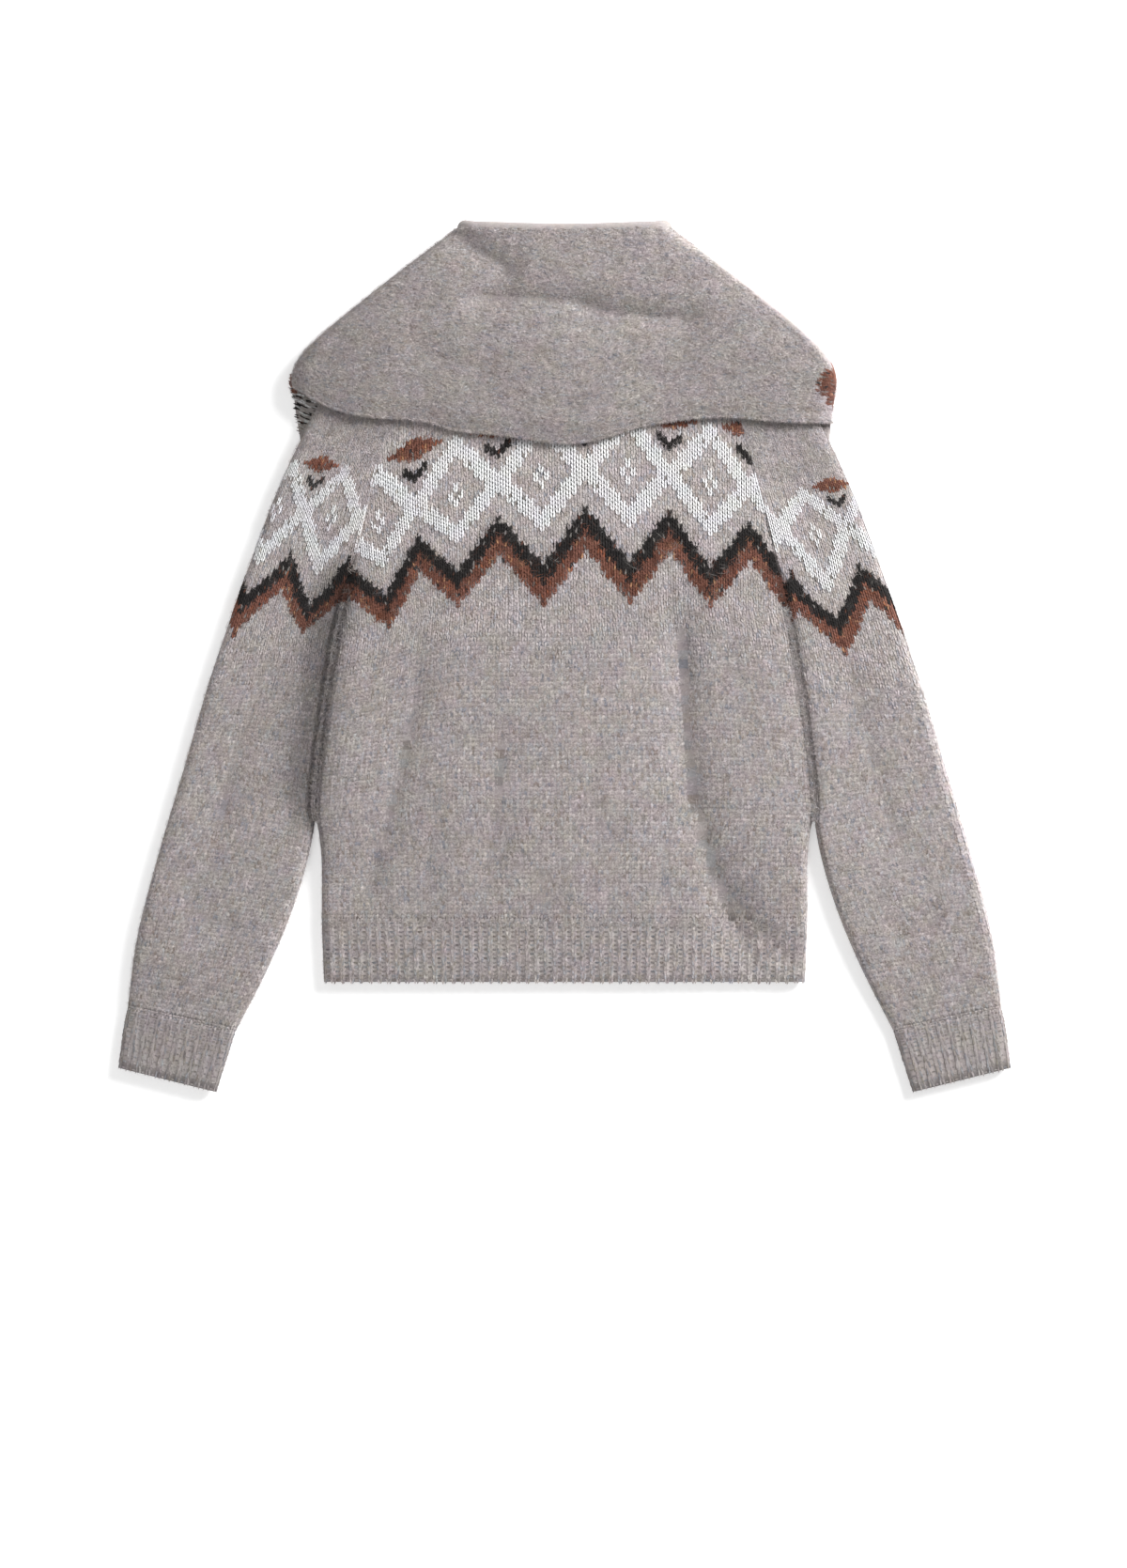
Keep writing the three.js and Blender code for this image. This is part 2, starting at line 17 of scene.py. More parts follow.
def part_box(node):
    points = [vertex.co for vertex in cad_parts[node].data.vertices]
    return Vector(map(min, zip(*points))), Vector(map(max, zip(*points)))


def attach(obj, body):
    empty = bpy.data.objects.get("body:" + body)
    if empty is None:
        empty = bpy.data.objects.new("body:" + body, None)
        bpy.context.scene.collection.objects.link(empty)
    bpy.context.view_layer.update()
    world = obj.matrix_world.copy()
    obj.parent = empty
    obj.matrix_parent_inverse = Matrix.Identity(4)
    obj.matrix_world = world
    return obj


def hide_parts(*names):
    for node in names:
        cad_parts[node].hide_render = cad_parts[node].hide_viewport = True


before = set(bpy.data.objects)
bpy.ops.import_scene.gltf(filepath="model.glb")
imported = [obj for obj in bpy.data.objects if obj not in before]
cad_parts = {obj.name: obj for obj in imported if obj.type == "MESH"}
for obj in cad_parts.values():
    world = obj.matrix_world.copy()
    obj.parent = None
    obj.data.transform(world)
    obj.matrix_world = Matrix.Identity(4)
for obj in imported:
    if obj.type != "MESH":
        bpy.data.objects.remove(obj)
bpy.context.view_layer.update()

# %% [markdown]
# The camera hangs straight above, because the garment was laid on a table and seen from over it. A long
# lens keeps the thick collar from looking larger than the hem. The floor is a sheet of white paper on a
# table lit from below, as for a catalogue picture, so it glows a little and takes hardly any shadow. The
# light above is soft and comes mostly from the upper right, so that the folds show a shaded left side.

# %% Camera, floor and light
scene = bpy.context.scene
camera = bpy.data.objects.new("camera", bpy.data.cameras.new("camera"))
camera.data.sensor_fit = "VERTICAL"
camera.data.sensor_height = 36
camera.data.lens = 85
camera.location = (-0.0009, -0.1185, 3.43)
scene.collection.objects.link(camera)
scene.camera = camera
scene.view_settings.view_transform = "Standard"


def area_light(name, place, target, size, power):
    """A square lamp of a size in metres at a place, turned towards a target."""
    lamp = bpy.data.lights.new(name, "AREA")
    lamp.size = size
    lamp.energy = power
    made = bpy.data.objects.new(name, lamp)
    made.location = place
    made.rotation_euler = (Vector(target) - Vector(place)).to_track_quat("-Z", "Y").to_euler()
    scene.collection.objects.link(made)


area_light("key", (2.5, 1.9, 1.2), (0.0, -0.05, 0.0), 1.6, 242)
area_light("fill", (-1.2, -1.0, 2.6), (0.0, 0.0, 0.0), 2.4, 15)
world = bpy.data.worlds.new("studio")
world.use_nodes = True
world.node_tree.nodes["Background"].inputs[0].default_value = (1, 1, 1, 1)
world.node_tree.nodes["Background"].inputs[1].default_value = 0.40
scene.world = world

# %% [markdown]
# Three small helpers serve the whole file. One turns a hex colour to the linear values that Blender
# works in. One adds a node with its settings and what goes into its inputs, for shaders and for
# Geometry Nodes alike. One gives a piece of mesh from points and faces in millimetres, because the
# sizes of a garment are easiest to think of in millimetres.


# %% Colours, nodes and meshes
def linear(text):
    """Linear colour of an sRGB hex value."""
    parts = [int(text[k : k + 2], 16) / 255 for k in (1, 3, 5)]
    return [p / 12.92 if p <= 0.04045 else ((p + 0.055) / 1.055) ** 2.4 for p in parts]


def add(tree, kind, inputs=None, **settings):
    """A node with its settings, and what goes into its inputs: another node's output or a value."""
    made = tree.nodes.new(kind)
    for name, value in settings.items():
        setattr(made, name, value)
    for key, value in (inputs or {}).items():
        if isinstance(value, bpy.types.NodeSocket):
            tree.links.new(value, made.inputs[key])
        else:
            made.inputs[key].default_value = value
    return made


HEM_Y = -300.0  # the hem's edge, in the garment's own millimetres
SHIFT = np.array([0.0, 1000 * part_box("back_hem_rib")[0][1] - HEM_Y, 0.0])


def to_metres(points):
    """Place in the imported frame, in metres, of points in the garment's own millimetres."""
    return (np.asarray(points, float) + SHIFT) * 0.001


def mesh_piece(name, points, faces):
    """A new object at the origin, with its place in its mesh."""
    mesh = bpy.data.meshes.new(name)
    mesh.from_pydata(to_metres(points).tolist(), [], faces)
    mesh.update()
    made = bpy.data.objects.new(name, mesh)
    scene.collection.objects.link(made)
    return made


corners = [(-4000, -4000, 0), (4000, -4000, 0), (4000, 4000, 0), (-4000, 4000, 0)]
floor = mesh_piece("floor", corners, [(0, 1, 2, 3)])
floor_paper = bpy.data.materials.new("matt_paper")
floor_paper.use_nodes = True
paper = floor_paper.node_tree.nodes["Principled BSDF"].inputs
paper["Base Color"].default_value = (*linear("#f7f7f7"), 1)
paper["Roughness"].default_value = 0.9
paper["Emission Color"].default_value = (1, 1, 1, 1)
paper["Emission Strength"].default_value = 0.35
floor.data.materials.append(floor_paper)

# %% [markdown]
# The sizes repeat those of the solids, so that the cloth lies exactly where they are. Short tables hold
# the few heights and widths that were measured. Small folds that the solids leave out are listed after
# the large ones. They are shallow, but their shading is what makes the wool look soft.

# %% Sizes
WALL, SEAM, LAYER = 3.0, 0.3, 0.6  # thickness of the cloth, parting at a seam, air between layers
ROLL, ROLL_RADIUS = 9.0, 8.0  # how far in the side starts to round over, and the radius of its arc
STITCH, ROW = 4.79, 4.05
QUARTER = math.pi / 2
SIDES = (("left", -1), ("right", 1))
RIB_TOP, UNDERARM = -244.0, 51.0
NECK_X, NECK_Y, SHOULDER_X, SHOULDER_Y = 78, 306, 146, 290
SEAM_BLEND, SHOULDER_LOFT, SHOULDER_FALL = 40, 9.9, 45
# half width of the body, and then of the back at the armhole, at each height
SIDE_EDGE = np.array([
    (-300, 223), (-244, 225), (-190, 225), (-165, 227), (-140, 231), (-70, 224), (10, 212),
    (51, 203), (115, 188), (165, 175.5), (213, 162), (250, 153), (290, 146)], float)
# height of the upper cloth of the body and of a sleeve at each height
LOFT = np.array([
    (-405, 9.5, 9.4), (-330, 9.5, 9.6), (-300, 9.5, 10.4), (-244, 10.6, 12), (-150, 14, 13),
    (0, 15.5, 13.4), (100, 16, 13.6), (200, 17, 15), (306, 13, 11)], float)
# start, end, bow to one side, width and depth of each soft trough
FOLDS = [
    (112, 50, 175, -285, 25, 13, 5.6), (-131, 10, -190, -240, -7, 11, 3.2),
    (-56, -60, -70, -215, 0, 12, 1.8), (26, -70, 34, -200, 3, 18, 1.0),
    (-262, 20, -330, -230, 10, 15, 2.0), (262, 40, 318, -190, 12, 16, 1.8),
    (350, -240, 300, -262, -4, 12, 1.6), (-352, -228, -300, -250, 5, 12, 1.6)]
SMALL_FOLDS = [
    (150, -212, 217, -288, 4, 9, 2.2),
    (96, 66, 112, -30, 0, 8, 1.4), (90, -150, 104, -262, 3, 9, 0.9), (-120, -120, -134, -250, -4, 8, 0.9),
    (-20, -190, -14, -262, 2, 8, 0.7), (150, 30, 168, -90, -5, 9, 0.7), (66, -20, 70, -110, 3, 12, 0.6),
    (-300, -60, -318, -170, 4, 8, 0.8), (280, -20, 262, -80, 3, 9, 0.8),
    (372, -200, 330, -214, 3, 8, 0.8), (-376, -196, -332, -216, -3, 8, 0.8)]
FOLD_FAR_SIDE = 2.2  # a fold is this much wider on its flatter side
print(len(FOLDS), "large folds and", len(SMALL_FOLDS), "small ones")

# %% [markdown]
# Two ways of reading are all that a laid garment needs: a soft step, where one form gives way to
# another, and a smooth curve through the values of a table.


# %% Smooth readings
def ease(start, end, at):
    """Soft step from 0 at start to 1 at end."""
    t = np.clip((at - start) / (end - start), 0, 1)
    return t * t * (3 - 2 * t)


def smooth_read(keys, values, at):
    """Smooth curve through values at rising keys."""
    keys, values, at = (np.asarray(v, float) for v in (keys, values, at))
    slope = np.empty(len(keys))
    slope[1:-1] = (values[2:] - values[:-2]) / (keys[2:] - keys[:-2])
    slope[0] = (values[1] - values[0]) / (keys[1] - keys[0])
    slope[-1] = (values[-1] - values[-2]) / (keys[-1] - keys[-2])
    k = np.clip(np.searchsorted(keys, at, side="left") - 1, 0, len(keys) - 2)
    span = keys[k + 1] - keys[k]
    t = np.clip((at - keys[k]) / span, 0, 1)
    ends = values[k] * (2 * t**3 - 3 * t**2 + 1) + values[k + 1] * (3 * t**2 - 2 * t**3)
    return ends + span * (slope[k] * (t**3 - 2 * t**2 + t) + slope[k + 1] * (t**3 - t**2))


def side_edge(y):
    """Half width of the body at a height."""
    return smooth_read(SIDE_EDGE[:, 0], SIDE_EDGE[:, 1], y)


def openness(y):
    """0 where the side of the body is a closed roll, 1 where it is an armhole."""
    return ease(UNDERARM, UNDERARM + 50, y)


def underside(y):
    """Height that the garment lies at: the surface, or the front of the collar."""
    return (WALL + LAYER) * ease(112, 144, y)


def shoulder_line(x):
    """Height of the shoulder seam, which slopes down from the neck."""
    slope = (NECK_Y - SHOULDER_Y) / (SHOULDER_X - NECK_X)
    return NECK_Y - slope * np.maximum(0, x - NECK_X)


# %% [markdown]
# A fold is a soft trough. It is steep on one side and spreads out further on the other, as in thick wool.
# Beside the left sleeve the body rises and the sleeve drops, and the right sleeve lies over the body, so
# each side has a valley of its own.


# %% Folds and valleys
def fold_depth(x, y, folds):
    """How deep the troughs are at a place."""
    depth = 0 * x
    for x0, y0, x1, y1, bow, width, deep in folds:
        length = math.hypot(x1 - x0, y1 - y0)
        rx, ry = (x1 - x0) / length, (y1 - y0) / length
        along = ((x - x0) * rx + (y - y0) * ry) / length
        across = (x - x0) * ry - (y - y0) * rx - bow * 4 * along * (1 - along)
        ends = ease(-0.12, 0.2, along) * (1 - ease(0.8, 1.12, along))
        reach = np.sqrt(across**2 + 4) - 2
        depth = depth + deep * ends * np.exp(-reach / np.where(across < 0, width, FOLD_FAR_SIDE * width))
    return depth


def beside(x, y):
    """How much a place is where body and sleeve lie together, and how far out of the body's edge."""
    window = ease(-215, -120, y) * (1 - ease(45, 95, y))
    return window, np.abs(x) - side_edge(np.minimum(y, SHOULDER_Y))


def side_valley(part, x, y):
    """How much lower the cloth is in the valley, on the left and on the right."""
    window, out = beside(x, y)
    left = np.asarray(x) < 0
    if part == "body":
        return -np.where(left, 3.4, -2.0) * window * np.exp(np.minimum(out, 0) / 18)
    return np.where(left, 6.0, -1.4) * window * np.exp(-np.maximum(out, 0) / np.where(left, 22, 14))


# %% [markdown]
# Little light gets down between body and sleeve, and less than a small lamp setup can show, so the yarn
# there is also darkened with a painted shade. These two functions give the share of the light that is
# left, for that painted shade. The first is for the valley, and the second for the two rolled edges, the
# more the further they turn down.


# %% The painted shade of the valleys
def valley_light(x, y):
    """Painted shade: share of the light that reaches the stitches in the valleys beside the sleeves."""
    window, out = beside(x, y - 15)

    def shade(deepest, at, width):
        return deepest * np.exp(-(((out - at) / width) ** 2))

    left = np.where(out > 0, shade(0.46, 15, 17), shade(0.36, -6, 16))
    return 1 - window * np.where(x < 0, left, shade(0.15, 0, np.where(out > 0, 11, 7)))


def roll_light(x, y, up):
    """Painted shade: share of the light on the rolled edges. up is the upward part of the cloth's direction.
    """
    window, out = beside(x, y)
    return 1 - 0.35 * window * (np.abs(out) < 25) * np.clip((1 - np.abs(up)) / 0.4, 0, 1)


# %% [markdown]
# The height of the upper cloth is the loft of the laid body or sleeve, less its valley and its folds.
# The two meet softly at the armhole. At the neck the back comes down to the shoulders, which lie on each
# other, and under the collar the folds are pressed out.


# %% The height of the cloth
def upper_height(part, x, y):
    """Height of the upper cloth over the body or over a sleeve."""
    edge, far = side_edge(np.minimum(y, SHOULDER_Y)), np.abs(x)
    body, sleeve = (smooth_read(LOFT[:, 0], LOFT[:, k], y) for k in (1, 2))
    half = 0.5 * openness(y)
    if part == "body":
        share = half * ease(edge - SEAM_BLEND, edge, far)
    else:
        share = 1 - half * (1 - ease(edge, edge + SEAM_BLEND, far))
    height = body + (sleeve - body) * share
    if part == "body":
        near = 1 - np.clip((shoulder_line(far) - y) / SHOULDER_FALL, 0, 1)
        height = height + (SHOULDER_LOFT - height) * ease(NECK_X - 25, NECK_X + 15, far) * near**2
    height = height - side_valley(part, x, y)
    return height - fold_depth(x, y, FOLDS + SMALL_FOLDS) * (1 - ease(150, 195, y))


def wall_point(x, y, out_x, out_y, turn, low, high, depth):
    """Point of a flattened tube. Its wall faces up at a turn of a quarter and sideways at none."""
    inward = depth * np.cos(turn)
    z = (low + high) / 2 + ((high - low) / 2 - depth) * np.sin(turn)
    return np.stack(np.broadcast_arrays(x - out_x * inward, y - out_y * inward, z), -1)


middle = np.array(0.0)
print("upper cloth at mid back", round(float(upper_height("body", middle, middle)), 1), "mm up")

# %% [markdown]
# A panel of the body is known by how far round it a place is, and at what height. A sleeve is known by
# its rows, which run from the side beside the body to the outer fold, and by how far round it a place
# is: up to 1 over the top, and on to 2 back along the underside. The stitches later use the same two
# numbers, so they follow the cloth round its rolled edges.


# %% The surfaces of the body and of the sleeves
def across_body(y, t):
    """Half width and wall angle at a share t of the way round from the middle to the side."""
    edge_turn = QUARTER * openness(y)
    edge = side_edge(y)
    flat = edge - ROLL * np.cos(edge_turn)
    reach = t * (flat + (QUARTER - edge_turn) * ROLL_RADIUS)
    turn = QUARTER - np.maximum(0, reach - flat) / ROLL_RADIUS
    x = np.where(reach > flat, edge - ROLL * (np.cos(edge_turn) - np.cos(turn)), reach)
    return x, turn


def body_surface(t, y, depth, rib=0.0, face=1):
    """Point of the back (face 1) or of the fronts (face -1). t runs from -1 at the left side to 1."""
    x, turn = across_body(y, np.abs(t))
    side = np.where(t < 0, -1.0, 1.0)
    high, low = upper_height("body", x * side, y), underside(y)
    p = wall_point(x * side, y, side, 0, face * turn, low, high, depth - rib)
    middle = (low + high) / 2 + face * SEAM / 2
    p[..., 2] = np.maximum(p[..., 2], middle) if face > 0 else np.minimum(p[..., 2], middle)
    return p


# body side and outer fold of each row of a sleeve, from the shoulder down to the wrist
SLEEVE_ROWS = np.array([
    (149, 286, 169, 289), (151, 258, 205, 266), (158, 221, 228, 233), (169, 186, 248, 194),
    (184, 132, 270, 145), (203, 51, 290, 92), (215, -5, 307, 44), (225, -75, 330, -24),
    (231, -157, 353, -103), (247, -222, 377, -184), (272, -284, 396, -258), (303, -345, 405, -323)], float)
CUFF_ROWS = np.array([(303.1, -345.3, 405.1, -323.3), (309, -364, 409, -341), (321, -402, 414, -379)], float)


def sleeve_row(table, at):
    """Start, direction and width of the row at a place along a sleeve."""
    keys = np.arange(len(table))
    ix, iy, ox, oy = (smooth_read(keys, table[:, k], at) for k in range(4))
    clear = side_edge(np.maximum(iy, HEM_Y)) + np.where(iy > UNDERARM, SEAM, LAYER)
    ix = np.where(iy >= UNDERARM - 0.01, side_edge(iy) + SEAM, np.maximum(ix, clear))
    width = np.hypot(ox - ix, oy - iy)
    return ix, iy, (ox - ix) / width, (oy - iy) / width, width


def sleeve_surface(side, table, at, t, depth, rib=0.0):
    """Point of a sleeve: t is 0 beside the body, 1 at the outer fold and 2 beside the body below."""
    ix, iy, rx, ry, width = sleeve_row(table, at)
    edge_turn = QUARTER * openness(iy)
    roll = np.minimum(ROLL, width / 3)
    radius = 0.5 * (roll + 6)
    inner_arc, outer_arc = (QUARTER - edge_turn) * radius, QUARTER * radius
    inner_roll = roll * np.cos(edge_turn)
    flat = width - roll - inner_roll
    half = np.where(t > 1, -1.0, 1.0)
    reach = np.where(t > 1, 2 - t, t) * (inner_arc + flat + outer_arc)
    turn = QUARTER - np.maximum(np.maximum(inner_arc - reach, reach - inner_arc - flat), 0) / radius
    on_outer = width - roll + roll * np.cos(turn)
    past_inner = np.where(reach > inner_arc + flat, on_outer, inner_roll + reach - inner_arc)
    across = np.where(reach < inner_arc, roll * (np.cos(edge_turn) - np.cos(turn)), past_inner)
    out = np.where(reach < inner_arc, -1.0, 1.0)
    x, y = side * (ix + across * rx), iy + across * ry
    high, low = upper_height("sleeve", x, y), underside(y)
    return wall_point(x, y, side * out * rx, out * ry, half * turn, low, high, depth - rib)


# %% [markdown]
# The pattern is a traditional one of the north: a zigzag, then a row of open diamonds with a seed in
# each, then small birds' feet and lozenges between the diamonds. It repeats every 16 stitches, and each
# half mirrors the other, so it is charted by rule. Wale 0 is the middle of a diamond, and row 0 is the
# lowest point of the zigzag. Plain marl fills the rest.


# %% The knitting chart
GROUND, RUST, CHARCOAL, WHITE = 0, 1, 2, 3


def chart(wale, row):
    """Yarn of the stitch at a wale and a row."""
    wale, row = np.round(wale), np.floor(row)
    out = np.abs((wale + 8) % 16 - 8)
    peak = 8 - out
    zigzag = np.round(1.61 * out)
    yarn = np.zeros(np.broadcast(wale, row).shape, int)
    yarn[(row >= zigzag) & (row < zigzag + 5)] = RUST
    yarn[(row >= zigzag + 5) & (row < zigzag + 10)] = CHARCOAL
    ring = np.abs(row - 31)
    yarn[(ring <= np.round(13.4 - 1.45 * out)) & (ring >= np.maximum(0, np.round(9.2 - 1.5 * out)))] = WHITE
    yarn[(out == 0) & np.isin(row, (28, 29, 32, 33))] = WHITE
    yarn[(out == 1) & np.isin(row, (30, 31))] = WHITE
    foot = np.where(peak == 0, 37, 36 + peak + 1)
    yarn[(peak <= 2) & ((row == foot) | (row == foot + 1))] = CHARCOAL
    lens = np.select([peak <= 1, peak <= 3, peak <= 5], [2, 1, 0], -1)
    yarn[np.abs(row - 44) <= lens] = RUST
    return yarn


one_repeat = chart(*np.meshgrid(np.arange(16), np.arange(48)))
print("white stitches in one repeat", int((one_repeat == WHITE).sum()))

# %% [markdown]
# The yarn is a marl: every stitch differs a little, between a pale warm grey, a bluish grey, a pink one
# and a brown one. A fixed random seed picks among them, so each run gives the same cloth. Where the
# pattern yarns cross behind the cloth, a few stray flecks of them show between the stitches.

# %% Yarn colours
rng = np.random.default_rng(7)
MARL_HEXES = ("#d6ccca", "#c9bfbd", "#c5c4c8", "#cec1c2", "#c3b9b1", "#b8afb1", "#dfd7d4")
MARL = np.array([linear(h) for h in MARL_HEXES])
MARL_SHARE = [0.22, 0.26, 0.15, 0.12, 0.12, 0.06, 0.07]
YARN = np.array([linear(h) for h in ("#c9bfbd", "#875849", "#262221", "#f8f7f8")])
FLECKS = {
    RUST: ["#c08f6c", "#2b2b2e", "#8d8581", "#5d3427", "#9a5a40"],
    CHARCOAL: ["#8d8784", "#5b3a2e", "#121213"],
    WHITE: ["#cfc9c4", "#8f8883"],
    GROUND: ["#b0a39d", "#aaa9b0"]}
FLECK_SHARE = {RUST: 0.22, CHARCOAL: 0.12, WHITE: 0.03, GROUND: 0.06}
# brightness of the marl and of the pattern yarns in the cloth, where they shade each other
GROUND_DEPTH, BAND_DEPTH = 0.66, 0.70


def dyed_and_shaded(yarn, depth=1.0, even=0.35):
    """A colour for each stitch of a yarn, with the marl's differences, made evener, and the stray flecks.
    depth is its brightness, as one number or one for each stitch; it also carries the painted shade of
    the valleys, the rolled edges and the ribs."""
    colour = YARN[yarn] * rng.normal(1, 0.08, (len(yarn), 1))
    marl = MARL[rng.choice(len(MARL), len(yarn), p=MARL_SHARE)] * rng.normal(1, 0.12, (len(yarn), 1))
    colour = np.where((yarn == GROUND)[:, None], marl, colour) * (1 - even) + YARN[yarn] * even
    for kind, hexes in FLECKS.items():
        spots = (yarn == kind) & (rng.random(len(yarn)) < FLECK_SHARE[kind])
        colour[spots] = np.array([linear(h) for h in hexes])[rng.integers(0, len(hexes), spots.sum())]
    level = np.where(yarn == GROUND, GROUND_DEPTH, BAND_DEPTH) * depth
    return np.clip(colour * level[:, None], 0.004, 0.95)


# %% [markdown]
# Knit cloth shows columns of V's, each made of two leaning legs of yarn. One tree lays all of them: a
# small closed spindle of 6 or 12 triangles is set on every point, turned and sized by the point's own
# attributes, and coloured by its yarn. Its faces stay plane: smoothed ones would take light at their tips
# as if they stood on end. The same tree lays the purl bumps of the collar, the chains of the ribs and the
# hairs, since only the spindle's lean and size differ. It is realized, because each stitch has to be
# plain mesh in the end.


# %% A tree that lays yarn on points
def group(name, inputs):
    """An empty geometry tree with named inputs and one geometry output."""
    tree = bpy.data.node_groups.new(name, "GeometryNodeTree")
    tree.interface.new_socket("Geometry", in_out="INPUT", socket_type="NodeSocketGeometry")
    for label, (kind, value) in inputs.items():
        socket = tree.interface.new_socket(label, in_out="INPUT", socket_type=kind)
        if value is not None:
            socket.default_value = value
    tree.interface.new_socket("Geometry", in_out="OUTPUT", socket_type="NodeSocketGeometry")
    return tree, add(tree, "NodeGroupInput"), add(tree, "NodeGroupOutput")


def lay_yarn_tree():
    """The tree that sets a spindle on each point, in millimetre sizes that the point carries."""
    tree, source, target = group("lay_yarn", {
        "Sides": ("NodeSocketInt", 3), "Rings": ("NodeSocketInt", 3), "Bow": ("NodeSocketFloat", 0.0),
        "Material": ("NodeSocketMaterial", None)})
    turn = add(tree, "GeometryNodeInputNamedAttribute", {"Name": "turn"}, data_type="FLOAT_VECTOR")
    size = add(tree, "GeometryNodeInputNamedAttribute", {"Name": "size"}, data_type="FLOAT_VECTOR")
    ball = add(tree, "GeometryNodeMeshUVSphere", {
        "Segments": source.outputs["Sides"], "Rings": source.outputs["Rings"], "Radius": 0.5})
    spindle = add(tree, "GeometryNodeTransform", {
        "Geometry": ball.outputs["Mesh"], "Rotation": (QUARTER, 0, 0)})
    position = add(tree, "GeometryNodeInputPosition")
    place = add(tree, "ShaderNodeSeparateXYZ", {0: position.outputs["Position"]})
    square = add(tree, "ShaderNodeMath", {
        0: place.outputs["Y"], 1: place.outputs["Y"]}, operation="MULTIPLY")
    arch = add(tree, "ShaderNodeMath", {0: square.outputs[0], 1: -4.0, 2: 1.0}, operation="MULTIPLY_ADD")
    rise = add(tree, "ShaderNodeMath", {0: arch.outputs[0], 1: source.outputs["Bow"]}, operation="MULTIPLY")
    lift = add(tree, "ShaderNodeCombineXYZ", {"Z": rise.outputs[0]})
    arched = add(tree, "GeometryNodeSetPosition", {
        "Geometry": spindle.outputs["Geometry"], "Offset": lift.outputs["Vector"]})
    rotation = add(tree, "FunctionNodeEulerToRotation", {"Euler": turn.outputs["Attribute"]})
    laid = add(tree, "GeometryNodeInstanceOnPoints", {
        "Points": source.outputs["Geometry"], "Instance": arched.outputs["Geometry"],
        "Rotation": rotation.outputs["Rotation"], "Scale": size.outputs["Attribute"]})
    real = add(tree, "GeometryNodeRealizeInstances", {"Geometry": laid.outputs["Instances"]})
    plane = add(tree, "GeometryNodeSetShadeSmooth", {
        "Geometry": real.outputs["Geometry"], "Shade Smooth": False})
    finish = add(tree, "GeometryNodeSetMaterial", {
        "Geometry": plane.outputs["Geometry"], "Material": source.outputs["Material"]})
    tree.links.new(finish.outputs["Geometry"], target.inputs["Geometry"])
    return tree


LAY_YARN = lay_yarn_tree()
print("lay_yarn has", len(LAY_YARN.nodes), "nodes")

# %% [markdown]
# The points are made in the script, because a stitch's place follows the maker's own count of wales and
# rows. The tree's modifier goes on them, its inputs are set by their identifiers, and the mesh that it
# makes becomes the piece. Then the modifier and the points are removed.


# %% From points to a piece
def grow(source, tree, name, **values):
    """The plain mesh that a tree makes of an object, as a new piece. The source is removed."""
    modifier = source.modifiers.new(tree.name, "NODES")
    modifier.node_group = tree
    keys = {item.name: item.identifier for item in tree.interface.items_tree if item.in_out == "INPUT"}
    for label, value in values.items():
        modifier[keys[label.replace("_", " ")]] = value
    depsgraph = bpy.context.evaluated_depsgraph_get()
    mesh = bpy.data.meshes.new_from_object(source.evaluated_get(depsgraph))
    mesh.name = name
    for spare in ("turn", "size"):
        if spare in mesh.attributes:
            mesh.attributes.remove(mesh.attributes[spare])
    source.modifiers.remove(modifier)
    made = bpy.data.objects.new(name, mesh)
    scene.collection.objects.link(made)
    return made


def unit(v):
    """Directions of length one."""
    return v / np.maximum(np.linalg.norm(v, axis=-1, keepdims=True), 1e-9)


def turns(along, up):
    """Euler angles that lay a spindle's length along one direction, with its crown up."""
    along = unit(along)
    side = unit(np.cross(along, up))
    crown = np.cross(side, along)
    return np.stack([
        np.arctan2(along[:, 2], crown[:, 2]), -np.arcsin(np.clip(side[:, 2], -1, 1)),
        np.arctan2(side[:, 1], side[:, 0])], 1)


def axes_at(surface, a, b, step_a, step_b):
    """Unit directions along the two numbers of a surface, and its crown."""
    along = unit(surface(a + step_a, b) - surface(a - step_a, b))
    up = unit(surface(a, b + step_b) - surface(a, b - step_b))
    return along, up, unit(np.cross(along, up))


def triangles(piece):
    """How many triangles a piece has."""
    return len(piece.data.loops) - 2 * len(piece.data.polygons)


def store_yarn(mesh, colour, domain):
    """Keeps a colour for each point or corner of a mesh, which the yarn's finish reads."""
    rgba = np.c_[colour, np.ones(len(colour))].astype(np.float32)
    mesh.attributes.new("yarn", "FLOAT_COLOR", domain).data.foreach_set("color", rgba.ravel())


def laid_yarn(name, batches, material, rings=3, bow=0.0):
    """A piece of laid spindles. Each batch is places, directions, crowns, sizes (mm) and colours."""
    places, along, up, size, colour = (np.concatenate(part) for part in zip(*batches))
    points = mesh_piece(name + "_points", places, [])
    for label, values in (("turn", turns(along, up)), ("size", size * 0.001)):
        attribute = points.data.attributes.new(label, "FLOAT_VECTOR", "POINT")
        attribute.data.foreach_set("vector", values.astype(np.float32).ravel())
    store_yarn(points.data, colour, "POINT")
    made = grow(points, LAY_YARN, name, Sides=3, Rings=rings, Bow=bow, Material=material)
    bpy.data.objects.remove(points)
    print(name, len(places), "spindles,", triangles(made), "triangles")
    return made


# %% [markdown]
# Each stitch is two legs that lean apart. The plain knit is felted by brushing, so its legs lie broad
# side up, wide and a little out of place. Only those of the band stand up as round yarn, the white most,
# because it is the crispest. The change from one to the other is uneven, as the brush left it.

# %% Knit stitches
PLY = np.array([0.8, 1.5, 1.6, 2.1])  # how far the ground, rust, charcoal and white yarn stand up
PLAIN_TOP = -6  # the row, counted from the zigzag's lowest, where the plain knit ends


